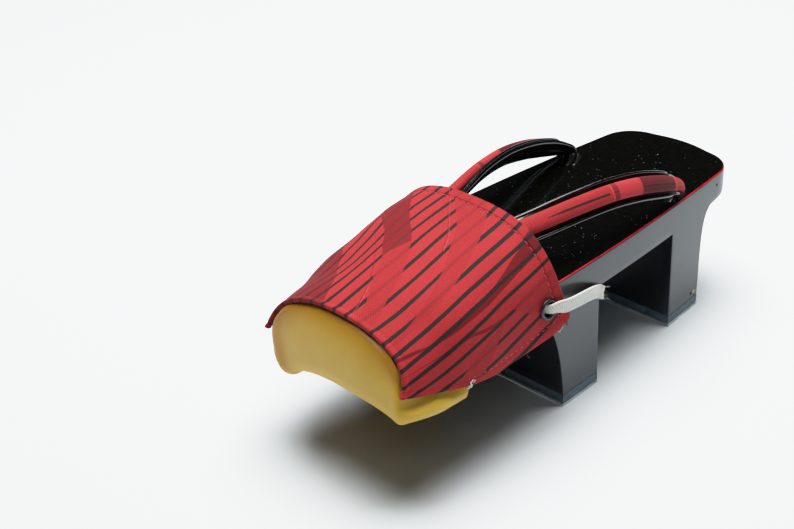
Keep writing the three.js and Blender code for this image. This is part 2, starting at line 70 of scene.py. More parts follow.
def readTable(rows, at):  # smooth reading of a table at values of its first column
    rows, at = np.asarray(rows, float), np.asarray(at, float)
    keys, last = rows[:, 0], len(rows) - 1
    i = np.clip(np.searchsorted(keys, at, side="left"), 1, last)
    a, b = rows[i - 1], rows[i]
    before, after = rows[np.maximum(i - 2, 0)], rows[np.minimum(i + 1, last)]
    span = b[..., :1] - a[..., :1]
    t = np.clip((at[..., None] - a[..., :1]) / span, 0, 1)
    startSlope = (b - before) / (b[..., :1] - before[..., :1]) * span
    endSlope = (after - a) / (after[..., :1] - a[..., :1]) * span
    t2, t3 = t * t, t * t * t
    return a * (2 * t3 - 3 * t2 + 1) + startSlope * (t3 - 2 * t2 + t) + b * (3 * t2 - 2 * t3) + endSlope * (t3 - t2)


def unit(vectors):
    vectors = np.asarray(vectors, float)
    return vectors / np.maximum(np.linalg.norm(vectors, axis=-1, keepdims=True), 1e-9)


def runAlong(line):  # how far each point of a line is from its start
    return np.concatenate([[0], np.cumsum(np.linalg.norm(np.diff(line, axis=0), axis=1))])


def smoothStep(low, high, value):
    t = np.clip((value - low) / (high - low), 0, 1)
    return t * t * (3 - 2 * t)


def gridFaces(columns, rows, start=0, around=False, flip=False):  # points stored column by column
    faces = []
    for i in range(columns if around else columns - 1):
        for j in range(rows - 1):
            a, b = start + i * rows + j, start + ((i + 1) % columns) * rows + j
            faces.append((a, a + 1, b + 1, b) if flip else (a, b, b + 1, a + 1))
    return faces


def edgeFaces(columns, rows):  # faces that close the edges between a grid and its copy behind it
    half = columns * rows
    edges = [(i * rows + j, (i + 1) * rows + j) for j in (0, rows - 1) for i in range(columns - 1)]
    edges += [(i * rows + j, i * rows + j + 1) for i in (0, columns - 1) for j in range(rows - 1)]
    return [(a, b, b + half, a + half) for a, b in edges]


def ringFaces(rings, count, start=0, capped=True, closed=False):  # faces of a tube whose rings have count points each
    faces = []
    for r in range(rings if closed else rings - 1):
        for n in range(count):
            here, there = start + r * count, start + (r + 1) % rings * count
            faces.append((here + n, here + (n + 1) % count, there + (n + 1) % count, there + n))
    if capped:
        faces.append(tuple(range(start, start + count))[::-1])
        faces.append(tuple(range(start + (rings - 1) * count, start + rings * count)))
    return faces


def addPiece(name, points, faces, materials, slots=None, uv=None, weld=0.0, turn=True):
    mesh = bpy.data.meshes.new(name)
    placed = (np.asarray(points, float).reshape(-1, 3) + (0, shiftY, 0)) * 0.001
    mesh.from_pydata(placed.tolist(), [], faces)
    for material in materials:
        mesh.materials.append(material)
    if slots is not None:
        mesh.polygons.foreach_set("material_index", slots)
    if uv is not None:
        layer = mesh.uv_layers.new(name="lay")
        corners = np.zeros(len(mesh.loops), np.int32)
        mesh.loops.foreach_get("vertex_index", corners)
        layer.data.foreach_set("uv", np.asarray(uv, np.float32).reshape(-1, 2)[corners].ravel())
    if weld or turn:
        work = bmesh.new()
        work.from_mesh(mesh)
        if weld:
            bmesh.ops.remove_doubles(work, verts=work.verts, dist=weld * 0.001)
        if turn:
            bmesh.ops.recalc_face_normals(work, faces=work.faces)
        work.to_mesh(mesh)
        work.free()
    mesh.polygons.foreach_set("use_smooth", [True] * len(mesh.polygons))
    piece = bpy.data.objects.new(name, mesh)
    scene.collection.objects.link(piece)
    return piece


def settle(piece, slot, *nodes):  # every piece rides on the one body
    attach(piece, "root")
    if nodes:
        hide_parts(*nodes)


def subdivide(piece, levels=1):
    modifier = piece.modifiers.new("fine", "SUBSURF")
    modifier.levels = modifier.render_levels = levels
    applyModifiers(piece)


def applyModifiers(piece):
    view = bpy.context.evaluated_depsgraph_get()
    done = bpy.data.meshes.new_from_object(piece.evaluated_get(view))
    piece.modifiers.clear()
    piece.data = done


def sharpenBy(piece, degrees):  # faces stay smooth across gentle bends only
    work = bmesh.new()
    work.from_mesh(piece.data)
    for edge in work.edges:
        edge.smooth = len(edge.link_faces) != 2 or edge.calc_face_angle(0) < math.radians(degrees)
    work.to_mesh(piece.data)
    work.free()


def tubeParts(path, radius, sides, start=0):  # points and faces of a tube along a path
    path = np.asarray(path, float)
    radius = np.broadcast_to(radius, len(path))
    tangent = unit(np.gradient(path, axis=0))
    seed = np.array((0.0, 0.0, 1.0)) if abs(tangent[0][2]) < 0.9 else np.array((1.0, 0.0, 0.0))
    side = unit(np.cross(tangent[0], seed))
    points = []
    for place, along, size in zip(path, tangent, radius):
        side = unit(side - along * (side @ along))
        other = np.cross(along, side)
        for n in range(sides):
            angle = 2 * math.pi * n / sides
            points.append(place + size * (side * math.cos(angle) + other * math.sin(angle)))
    return points, ringFaces(len(path), sides, start)


def manyTubes(tubes, sides):  # from pairs of radius and path
    points, faces = [], []
    for radius, path in tubes:
        more, moreFaces = tubeParts(path, radius, sides, len(points))
        points += more
        faces += moreFaces
    return points, faces


def wire(tree, source, node, key):  # a node given as the source stands for its first output in use
    socket = next(o for o in source.outputs if o.enabled) if hasattr(source, "outputs") else source
    tree.links.new(socket, node.inputs[key])


def addNode(tree, kind, settings=None, links=None, curve=None):
    node = tree.nodes.new("ShaderNode" + kind)
    for key, value in (settings or {}).items():
        if isinstance(key, int):
            node.inputs[key].default_value = value
        else:
            setattr(node, key, value)
    for key, source in (links or {}).items():
        wire(tree, source, node, key)
    if curve:
        points = node.mapping.curves[0].points
        for n, (x, y) in enumerate(curve):
            point = points[n] if n < 2 else points.new(x, y)
            point.location = (x, y)
        node.mapping.update()
    return node


def newMaterial(name, settings):
    material = bpy.data.materials.new(name)
    material.use_nodes = True
    shader = material.node_tree.nodes["Principled BSDF"]
    for socket, value in settings.items():
        shader.inputs[socket].default_value = value
    return material, material.node_tree, shader


# Camera at the sandal's front right, standing up, and a big soft light overhead.
cameraSetting = {
    "position": (361.9, -447.7, 369.0),
    "azimuth": 44.65,
    "elevation": 29.43,
    "roll": -1.29,
    "lens": 66.63,
    "sensor": 36,
}
studio = {
    "floor": "#E2EAEF",
    "worldColour": "#C9D3DC",
    "worldStrength": 0.015,
    "worldSeen": 1.9,
    "farPaper": (0.55, 2.0, 2.1),  # glows from the first distance to the second, where the softbox doesn't reach
    "white": 2.5,
    "shoulder": [(0, 0), (0.08, 0.2), (0.2, 0.5), (0.26, 0.64), (0.34, 0.77), (0.46, 0.875), (0.64, 0.935), (1, 0.975)],
    "lamps": "#FFFDFA",
    "overhead": {"at": (-0.2, 0.22, 1.27), "to": (0.02, 0, 0.03), "size": (1.2, 0.95), "power": 38.5},
    "side": {"at": (0.75, -0.75, 1.3), "to": (0, 0, 0.03), "size": (0.8, 0.6), "power": 1.3},
}


def placeCamera():
    az, el, roll = (math.radians(cameraSetting[k]) for k in ("azimuth", "elevation", "roll"))
    back = Vector((math.sin(az) * math.cos(el), -math.cos(az) * math.cos(el), math.sin(el)))
    level = Vector((math.cos(az), math.sin(az), 0))
    right = level * math.cos(roll) + back.cross(level) * math.sin(roll)
    up = back.cross(right)
    lens = bpy.data.cameras.new("studioCamera")
    lens.lens, lens.sensor_width = cameraSetting["lens"], cameraSetting["sensor"]
    lens.clip_start, lens.clip_end = 0.01, 20
    camera = bpy.data.objects.new("studioCamera", lens)
    turn = Matrix((right, up, back)).transposed().to_4x4()
    camera.matrix_world = Matrix.Translation(Vector(cameraSetting["position"]) * 0.001) @ turn
    scene.collection.objects.link(camera)
    scene.camera = camera


def placeLight(name):
    given = studio[name]
    light = bpy.data.lights.new(name, "AREA")
    light.shape = "RECTANGLE"
    light.size, light.size_y = given["size"]
    light.energy = given["power"]
    light.color = hexColour(studio["lamps"])[:3]
    lamp = bpy.data.objects.new(name, light)
    lamp.location = given["at"]
    lamp.rotation_euler = (Vector(given["to"]) - Vector(given["at"])).to_track_quat("-Z", "Y").to_euler()
    scene.collection.objects.link(lamp)


def placeFloor():
    # Seamless background paper: a matt white with a very faint felt, so that the floor isn't one flat value.
    pale = hexColour(studio["floor"])
    material, tree, shader = newMaterial("seamlessPaper", {
        "Base Color": pale, "Roughness": 0.9, "Specular IOR Level": 0.2, "Emission Color": pale})
    where = addNode(tree, "NewGeometry").outputs["Position"]
    felt = addNode(tree, "TexNoise", {2: 900, 3: 3}, {0: where})  # about 1 mm
    bump = addNode(tree, "Bump", {0: 0.05, 1: 0.0002}, {"Height": felt})
    wire(tree, bump, shader, "Normal")
    reach = addNode(tree, "VectorMath", {"operation": "LENGTH"}, {0: where})
    near, far, glow = studio["farPaper"]
    lit = addNode(tree, "MapRange", {1: near, 2: far, 4: glow}, {0: reach})
    wire(tree, lit, shader, "Emission Strength")
    corners = [(-4000, -3000, 0), (4000, -3000, 0), (4000, 6000, 0), (-4000, 6000, 0)]
    floor = addPiece("floor", corners, [(0, 1, 2, 3)], [material], turn=False)


placeCamera()
placeLight("overhead")
placeLight("side")
placeFloor()
world = bpy.data.worlds.new("studioAir")
world.use_nodes = True
air = world.node_tree.nodes["Background"]
air.inputs[0].default_value = hexColour(studio["worldColour"])
seen = addNode(world.node_tree, "LightPath").outputs["Is Camera Ray"]
strength = addNode(world.node_tree, "MapRange", {3: studio["worldStrength"], 4: studio["worldSeen"]}, {0: seen})
wire(world.node_tree, strength, air, 1)  # pale to look at, and nearly dark as a light, so that the lacquer stays black
scene.world = world
scene.view_settings.view_transform = "Standard"
scene.view_settings.use_curve_mapping = True  # bright paper rolls off just short of white, as on a camera
shoulder = scene.view_settings.curve_mapping
shoulder.white_level = (studio["white"],) * 3
for place, value in studio["shoulder"]:
    if place in (0, 1):
        shoulder.curves[3].points[int(place)].location = (place, value)
    else:
        shoulder.curves[3].points.new(place, value)
shoulder.update()
print("camera, lights and floor in place")


# The wooden body: board and both teeth in one, lacquered.
board = {
    "toeY": -117.4,
    "heelY": 122,
    "rimZ": 63.3,
    "undersideZ": 49,
    "widestY": -50,
    "halfWidth": 41.4,
    "fall": 1.84,
    "fallRun": 72,
    "toeCorner": (36, 1.5),  # radius and bow
    "heelCorner": (17.5, 2.6),
    "flare": 2,
    "dish": 1.6,
    "rimFlat": 1.5,
    "rimRound": 0.9,
    "edgeRound": 0.35,
    "twinLineFrom": 92,
    "frontTooth": (-24.4, 0.6),
    "rearTooth": (60, 87),
    "tread": 5.6,
    "seam": 0.15,
    "thongHole": (-60, 5),  # place along and radius
    "strapHole": ((30, 69.5, 63.3), (28.4, 51.5, 49), 4.7),
    "pinHoles": ((80.9, 8.5, 0.8), (100.8, 57.9, 0.7), (-22.4, 40.4, 0.4)),  # place along, height and radius
}


def sideAt(y):
    return board["halfWidth"] - board["fall"] * ((y - board["widestY"]) / board["fallRun"]) ** 2


def leanAt(z):
    return 1 + board["flare"] * (1 - z / board["rimZ"]) / board["halfWidth"]


def footbedZ(x, y):
    across = np.minimum(1, np.abs(x) / (sideAt(y) - board["rimFlat"]))
    middle = (board["toeY"] + board["heelY"]) / 2
    along = np.minimum(1, np.abs(y - middle) / ((board["heelY"] - board["toeY"]) / 2 - 2))
    return board["rimZ"] - board["dish"] * (1 - across ** 3) * (1 - along ** 6)


def bezier(points, count):
    t = np.linspace(0, 1, count)[:, None]
    points = np.asarray(points, float)[:, None, :]
    while len(points) > 1:
        points = points[:-1] * (1 - t) + points[1:] * t
    return points[0]


def bodyProfile():  # the underside seen from the side, as (y, z), without the two upright tooth faces
    z, floor = board["undersideZ"], board["tread"] + board["seam"]
    toe, heel = board["toeY"], board["heelY"]
    front, frontEnd = board["frontTooth"]
    rear, rearEnd = board["rearTooth"]
    toeward = [(toe - 1, z + 9), (toe - 1, z + 1.5), (toe + 12, z + 0.5)]
    scoop = [(front - 20, z), (front - 7, z), (front - 2, z - 20), (front, floor)]
    heelScoop = [(rearEnd, floor), (rearEnd + 0.5, z - 16), (rearEnd + 1, z - 1), (rearEnd + 9, z + 0.8)]
    lip = [(heel - 14, z + 2), (heel - 1, z + 5), (heel + 1, board["rimZ"] - 3)]
    ahead = np.vstack([bezier(toeward, 9), bezier(scoop, 16), [(frontEnd, floor)]])
    behind = np.vstack([[(rear, floor)], bezier(heelScoop, 22), bezier(lip, 9)])
    return ahead, behind


def halfOutline():  # toe middle round one side to heel middle, at every millimetre
    def end(y, inward, corner):
        radius, bow = corner
        centreY = y + inward * (radius + bow)
        centreX = sideAt(centreY) - radius
        t = np.linspace(0, 0.7, 8)
        turn = np.linspace(0, math.pi / 2, 24)
        edge = np.stack([t * centreX, y + inward * bow * t * t], 1)
        bend = np.stack([centreX + radius * np.sin(turn), centreY - inward * radius * np.cos(turn)], 1)
        return np.vstack([edge, bend])
    toe, heel = end(board["toeY"], 1, board["toeCorner"]), end(board["heelY"], -1, board["heelCorner"])[::-1]
    y = np.linspace(toe[-1, 1], heel[0, 1], 60)[1:-1]
    half = np.vstack([toe, np.stack([sideAt(y), y], 1), heel])
    loop = np.vstack([half, (half * (-1, 1))[::-1][1:]])
    length = runAlong(loop)
    count = int(length[-1] // 2) * 2
    even = np.stack([np.interp(np.arange(count) * length[-1] / count, length, loop[:, k]) for k in (0, 1)], 1)
    weights = np.exp(-0.5 * (np.arange(-8, 9) / 2.4) ** 2)
    wide = np.vstack([even[-8:], even, even[:8]])
    soft = np.stack([np.convolve(wide[:, k], weights / weights.sum(), "valid") for k in (0, 1)], 1)
    right = soft[:count // 2 + 1]
    right[0, 0] = right[-1, 0] = 0
    return right


def bodyStations(ahead, behind):
    line = halfOutline()
    run = runAlong(line)
    wanted = [y for y in [*ahead[:, 0], *behind[:, 0]] if line[0, 1] + 1.2 < y < line[-1, 1] - 1.2]
    fixed = np.interp(wanted, line[:, 1], run)
    spaced = [s for s in np.arange(0, run[-1] + 0.1, run[-1] / 110) if np.min(np.abs(fixed - s)) > 0.9]
    places = np.unique(np.round(np.concatenate([fixed, spaced, [0, run[-1]]]), 4))
    at = np.stack([np.interp(places, run, line[:, k]) for k in (0, 1)], 1)
    tangent = np.stack([np.gradient(np.interp(places, run, line[:, k]), places) for k in (0, 1)], 1)
    out = unit(np.stack([tangent[:, 1], -tangent[:, 0]], 1))
    out[0], out[-1] = (0, -1), (0, 1)
    at[0, 0] = at[-1, 0] = 0
    return at, out


def lacqueredBody(lacquer, redLine):
    ahead, behind = bodyProfile()
    at, out = bodyStations(ahead, behind)
    y = at[:, 1]
    under = board["undersideZ"]
    frontEnd, rear = board["frontTooth"][1], board["rearTooth"][0]
    bottom = np.full(len(y), float(under))
    isAhead, isBehind = y <= frontEnd + 1e-3, y >= rear - 1e-3
    bottom[isAhead] = np.interp(y[isAhead], ahead[:, 0], ahead[:, 1])
    bottom[isBehind] = np.interp(y[isBehind], behind[:, 0], behind[:, 1])
    points, faces, slots = [], [], []

    def patch(grid, slot=lambda i, j: 0):
        grid = np.asarray(grid, float)
        start = len(points)
        points.extend(grid.reshape(-1, 3))
        columns, rows = grid.shape[:2]
        faces.extend(gridFaces(columns, rows, start))
        slots.extend(slot(i, j) for i in range(columns - 1) for j in range(rows - 1))

    def leaned(x, yy, z):
        return (x * leanAt(z), yy, z)

    rim, flat = board["rimRound"], board["rimZ"]
    turn = np.linspace(0, math.pi / 2, 8)
    across = np.sin(np.linspace(-1, 1, 31) * math.pi / 2)
    upper = np.linspace(0, 1, 5)[1:]
    rings = []
    for (px, py), (nx, ny), low in zip(at, out, bottom):
        end = max(under, low)
        insideX, insideY = px - nx * rim, py - ny * rim
        insideX = max(insideX, 0)
        top = [(x, insideY, footbedZ(x, insideY)) for x in across * insideX]
        side = [leaned(px - nx * rim * (1 - math.sin(a)) if px > 0 else 0, py - ny * rim * (1 - math.sin(a)),
                       flat - rim * (1 - math.cos(a))) for a in turn[1:]]
        side = [(max(x, 0), yy, z) for x, yy, z in side]
        wallTop = flat - rim
        wall = [leaned(px, py, wallTop + (end - wallTop) * t) for t in upper]
        right = side + wall
        left = [(-x, yy, z) for x, yy, z in right][::-1]
        rings.append(left + top + right)
    count = len(rings[0])

    def rimSlot(i, j):  # one red line along the rim, and two with black between them round the heel
        fromWall = min(j, count - 2 - j) - len(upper)
        return int(fromWall in ((1, 2, 4, 5) if y[i] > board["twinLineFrom"] else (3, 4, 5)))

    patch(rings, rimSlot)

    def lowGrid(which, level):
        spread = np.linspace(1, -1, 13)
        rows = [[leaned(px, py, z)[0] * s for s in spread] for (px, py), z in zip(at[which], level)]
        return [[(x, py, z) for x in row] for row, (px, py), z in zip(rows, at[which], level)]

    middle = (y > frontEnd - 1e-3) & (y < rear + 1e-3)
    patch(lowGrid(isAhead, bottom[isAhead]))
    patch(lowGrid(isBehind, bottom[isBehind]))
    patch(lowGrid(middle, np.full(middle.sum(), float(under))))
    depth = np.linspace(0, 1, 9)
    for which in (isAhead & (bottom <= under + 1e-6), isBehind & (bottom <= under + 1e-6)):
        grid = [[leaned(px, py, under + (low - under) * t) for t in depth]
                for (px, py), low in zip(at[which], bottom[which])]
        if isBehind[which].all():  # carries on to the next station, where the tooth runs out into the board
            n = np.flatnonzero(which)[-1] + 1
            grid.append([leaned(*at[n], bottom[n])] * len(depth))
        patch(grid)
        patch([[(-x, yy, z) for x, yy, z in row] for row in grid])
    for edgeY in (frontEnd, rear):
        n = int(np.argmin(np.abs(y - edgeY)))
        floor = board["tread"] + board["seam"]
        spread = np.linspace(1, -1, 13)
        patch([[(leaned(at[n, 0], y[n], z)[0] * s, y[n], z) for s in spread] for z in under + (floor - under) * depth])
    body = addPiece("lacqueredBody", points, faces, [lacquer, redLine], slots, weld=0.02)
    work = bmesh.new()
    work.from_mesh(body.data)
    bmesh.ops.dissolve_degenerate(work, dist=1e-5, edges=work.edges)
    sharp = [e for e in work.edges if len(e.link_faces) == 2 and e.calc_face_angle(0) > math.radians(40)]
    bmesh.ops.bevel(work, geom=sharp, offset=board["edgeRound"] * 0.001, segments=2, profile=0.6, affect="EDGES",
                    clamp_overlap=False, material=0)
    bmesh.ops.recalc_face_normals(work, faces=work.faces)
    print("body open edges", sum(len(e.link_faces) != 2 for e in work.edges), "sharp", len(sharp))
    work.to_mesh(body.data)
    work.free()
    for drill in bodyDrills():
        cutter = body.modifiers.new("hole", "BOOLEAN")
        cutter.operation, cutter.object, cutter.solver = "DIFFERENCE", drill, "EXACT"
    applyModifiers(body)
    for drill in [o for o in scene.objects if o.name.startswith("drill")]:
        bpy.data.objects.remove(drill)
    body.data.polygons.foreach_set("use_smooth", [True] * len(body.data.polygons))
    sharpenBy(body, 30)
    return body


def bodyDrills():
    thongY, thongR = board["thongHole"]
    top, exit, strapR = board["strapHole"]
    lines = [((0, thongY, 75), (0, thongY, 40), thongR)]
    for side in (1, -1):
        a, b = np.array(top) * (side, 1, 1), np.array(exit) * (side, 1, 1)
        lines.append((a + (a - b) * 0.6, b - (a - b) * 0.6, strapR))
    for y, z, radius in board["pinHoles"]:
        x = sideAt(y) * leanAt(z)
        lines.append(((x - 2.2, y, z), (x + 2, y, z), radius))
    drills = []
    for n, (start, end, radius) in enumerate(lines):
        points, faces = tubeParts([start, end], radius, 40)
        drills.append(addPiece(f"drill{n}", points, faces, []))
    return drills


def lacquerFinish():
    # Polished urushi on wood: near black and mirror smooth on the footbed, a little hazier down the sides, where faint
    # brush and grain streaks show in the reflection, with grey dust grains lying on it and chipped edges at the treads.
    material, tree, shader = newMaterial("polishedBlackUrushi", {
        "IOR": 1.54, "Coat Weight": 0.32, "Coat Roughness": 0.04, "Specular Tint": hexColour("#EAF2FF")})
    where = addNode(tree, "NewGeometry")
    split = addNode(tree, "SeparateXYZ", links={0: where.outputs["Normal"]})
    place = addNode(tree, "SeparateXYZ", links={0: where.outputs["Position"]})
    upward = addNode(tree, "MapRange", {1: 0.75, 2: 0.95}, {0: split.outputs[2]})
    stretched = addNode(tree, "Mapping", {3: (1, 0.9, 0.06)}, {0: where.outputs["Position"]})
    grain = addNode(tree, "TexNoise", {2: 700, 3: 4, 4: 0.6}, {0: stretched})  # 1.4 mm apart, drawn out 20 mm
    # dust: a grain in about every 1.6 mm square, most of them too faint to see
    cells = addNode(tree, "TexVoronoi", {2: 640}, {0: where.outputs["Position"]})
    pick = addNode(tree, "SeparateColor", links={0: cells.outputs["Color"]})
    size = addNode(tree, "MapRange", {1: 0.45, 2: 1.0, 3: 0.0, 4: 0.17}, {0: pick})
    grit = addNode(tree, "Math", {"operation": "SUBTRACT"}, {0: size, 1: cells.outputs["Distance"]})
    speck = addNode(tree, "MapRange", {1: 0.0, 2: 0.05}, {0: grit})
    clouds = addNode(tree, "TexNoise", {2: 45, 3: 2}, {0: where.outputs["Position"]})
    patchy = addNode(tree, "MapRange", {1: 0.38, 2: 0.62, 3: 0.15, 4: 1.0}, {0: clouds})
    dust = addNode(tree, "Math", {"operation": "MULTIPLY"}, {0: speck, 1: patchy})
    lying = addNode(tree, "MapRange", {3: 0.12, 4: 0.8}, {0: upward})
    dust = addNode(tree, "Math", {"operation": "MULTIPLY"}, {0: dust, 1: lying})
    # chips along the wood's lowest edges, at the treads
    chipNoise = addNode(tree, "TexNoise", {2: 420, 3: 2}, {0: where.outputs["Position"]})
    low = addNode(tree, "MapRange", {1: 0.0074, 2: 0.0058}, {0: place.outputs[2]})
    chip = addNode(tree, "Math", {"operation": "MULTIPLY"}, {0: chipNoise, 1: low})
    chip = addNode(tree, "MapRange", {1: 0.6, 2: 0.64}, {0: chip})
    # painted shade by facing: faces that look up get a darker black than the sides, whose black is a touch lighter and
    # bluer
    base = addNode(tree, "Mix", {"data_type": "RGBA", 6: hexColour("#0A0B0E"), 7: hexColour("#040403")},
                   {0: upward})
    streaked = addNode(tree, "MapRange", {1: 0.3, 2: 0.7, 3: 0.4, 4: 2.0}, {0: grain})
    base = addNode(tree, "VectorMath", {"operation": "SCALE"}, {0: base, 3: streaked})
    base = addNode(tree, "Mix", {"data_type": "RGBA", 7: hexColour("#8E8F89")}, {0: dust, 6: base})
    base = addNode(tree, "Mix", {"data_type": "RGBA", 7: hexColour("#9C9484")}, {0: chip, 6: base})
    wire(tree, base, shader, "Base Color")
    sides = addNode(tree, "MapRange", {3: 0.3, 4: 0.09}, {0: upward})
    rough = addNode(tree, "Math", {"operation": "MULTIPLY_ADD", 1: 0.12}, {0: grain, 2: sides})
    rough = addNode(tree, "Math", {"operation": "MULTIPLY_ADD", 1: 0.6, "use_clamp": True}, {0: dust, 2: rough})
    wire(tree, rough, shader, "Roughness")
    wave = addNode(tree, "TexNoise", {2: 32, 3: 1}, {0: where.outputs["Position"]})  # 30 mm swells
    height = addNode(tree, "Math", {"operation": "MULTIPLY_ADD", 1: 0.03}, {0: grain, 2: wave})
    height = addNode(tree, "Math", {"operation": "MULTIPLY_ADD", 1: 0.15}, {0: dust, 2: height})
    bump = addNode(tree, "Bump", {0: 0.25, 1: 0.0006}, {"Height": height})
    wire(tree, bump, shader, "Normal")
    return material


def redLineFinish():
    # Vermilion lacquer painted on the rim by brush: glossy, uneven in depth, rubbed brown here and there.
    material, tree, shader = newMaterial("vermilionUrushi", {"Roughness": 0.18, "IOR": 1.54, "Coat Weight": 0.3})
    where = addNode(tree, "NewGeometry").outputs["Position"]
    rub = addNode(tree, "TexNoise", {2: 90, 3: 3}, {0: where})
    tone = addNode(tree, "MapRange", {1: 0.35, 2: 0.6}, {0: rub})
    colour = addNode(tree, "Mix", {"data_type": "RGBA", 6: hexColour("#8E161C"), 7: hexColour("#C8222A")},
                     {0: tone})
    wire(tree, colour, shader, "Base Color")
    bump = addNode(tree, "Bump", {0: 0.2, 1: 0.0002}, {"Height": rub})
    wire(tree, bump, shader, "Normal")
    return material


blackUrushi, redUrushi = lacquerFinish(), redLineFinish()
body = lacqueredBody(blackUrushi, redUrushi)
settle(body, "lacquered_wood", "platform")
print("lacquered body made")


# The rubber pads under the teeth: a dark moulded block on a thin paler skin.
treads = {
    "skin": 1.25,
    "gap": 0.12,
    "skinOut": 0.15,
    "rounding": 0.3,
    "columns": 14,
    "block": "#4E5F6A",
    "pale": "#B9C4C9",
}


def treadLayer(y0, y1, z0, z1, grow):
    inset = treads["rounding"]
    rows = []
    for z, pull in ((z0, inset), (z0 + inset, 0), (z1 - inset, 0), (z1, inset)):
        y = np.linspace(y0 - grow + pull, y1 + grow - pull, treads["columns"])
        x = sideAt(y) * leanAt(z) + grow - pull
        rows.append([(a, b, z) for a, b in zip(x, y)] + [(-a, b, z) for a, b in zip(x[::-1], y[::-1])])
    return [p for loop in rows for p in loop], ringFaces(len(rows), len(rows[0]))


def rubberTread(name, span, node, block, pale):
    thick = board["tread"]
    low, lowFaces = treadLayer(*span, 0, treads["skin"], treads["skinOut"])
    high, highFaces = treadLayer(*span, treads["skin"] + treads["gap"], thick, 0)
    faces = lowFaces + [tuple(i + len(low) for i in face) for face in highFaces]
    slots = [1] * len(lowFaces) + [0] * len(highFaces)
    tread = addPiece(name, low + high, faces, [block, pale], slots)
    sharpenBy(tread, 50)
    settle(tread, "sole_rubber", node)


def treadFinish(name, code, rough):
    # Moulded EVA-like rubber: matt blue-grey with a fine pebble skin, and pale scuffs where it has been walked on.
    material, tree, shader = newMaterial(name, {"Roughness": rough, "IOR": 1.5})
    where = addNode(tree, "NewGeometry").outputs["Position"]
    pebble = addNode(tree, "TexVoronoi", {2: 1800}, {0: where})  # 0.55 mm grains
    scuff = addNode(tree, "TexNoise", {2: 180, 3: 4}, {0: where})
    tone = addNode(tree, "MapRange", {1: 0.4, 2: 0.75, 3: 0.0, 4: 0.5}, {0: scuff})
    lighter = tuple(min(1, c * 2.1) for c in hexColour(code)[:3]) + (1,)
    colour = addNode(tree, "Mix", {"data_type": "RGBA", 6: hexColour(code), 7: lighter}, {0: tone})
    wire(tree, colour, shader, "Base Color")
    bump = addNode(tree, "Bump", {0: 0.35, 1: 0.0001}, {"Height": pebble})
    wire(tree, bump, shader, "Normal")
    return material


blockRubber = treadFinish("mouldedSoleRubber", treads["block"], 0.55)
paleRubber = treadFinish("soleRubberSkin", treads["pale"], 0.6)
rubberTread("frontTread", board["frontTooth"], "front_tread", blockRubber, paleRubber)
rubberTread("rearTread", board["rearTooth"], "rear_tread", blockRubber, paleRubber)
print("treads made")


# The cloth cover over the toes. Rows run from the toe edge (0) to the edge over the instep (1).
cover = {
    "sections": [  # v, footY, footZ, halfFoot, crownY, crownZ, square
        (0, -120.4, 50.4, 38.4, -115.4, 71.5, 2.12),
        (0.09, -112.6, 48.6, 40.6, -108.2, 73.6, 2.35),
        (0.2, -103, 46.6, 42.4, -99.4, 76.2, 2.55),
        (0.3, -93.5, 44.6, 44.4, -91.5, 78.3, 2.9),
        (0.4, -84, 42.8, 45.1, -83.5, 80.2, 3.2),
        (0.6, -63, 40.2, 45.4, -67.4, 83.6, 3.1),
        (0.8, -43, 40.7, 45.9, -51.2, 87.2, 2.9),
        (0.92, -31.5, 41.8, 46.2, -41.2, 89.6, 2.8),
        (1, -23.6, 45.9, 46.2, -34.6, 91.6, 2.75),
    ],
    "thick": 0.95,
    "frontHem": 0.031,
    "rearSeam": 0.944,
    "columns": 112,
    "rows": 56,
    "length": 84,
    "flat": (0.158, 0.088),
    "endAt": (0, 0.5, 0.6, 0.7, 0.8, 0.9, 0.97, 1),  # where the lower edge lies, from the crown
    "endBy": (99, 74, 73.9, 74.6, 75.2, 75.8, 75.2, 74),
    "seamAt": (0, 0.33, 0.36, 0.38, 0.45, 0.5, 0.67, 0.85, 0.95, 1),
    "seamBy": (47, 64.4, 65.3, 66.2, 68, 69, 70, 70.5, 70.9, 71),
    "crestAt": (0, 0.05, 0.15, 0.25, 0.35, 0.5, 0.65, 0.8, 0.9, 1),  # how much fuller or flatter the -X shoulder is
    "crestBy": (0, -0.4, -1.8, -3.4, -3.9, -2.2, 0.2, 1.5, 1.1, 0),
    "stitch": (2.5, 0.75),  # length of a stitch and the gap after it
    "threadRadius": 0.2,
    "stitchEnd": 71.2,
}
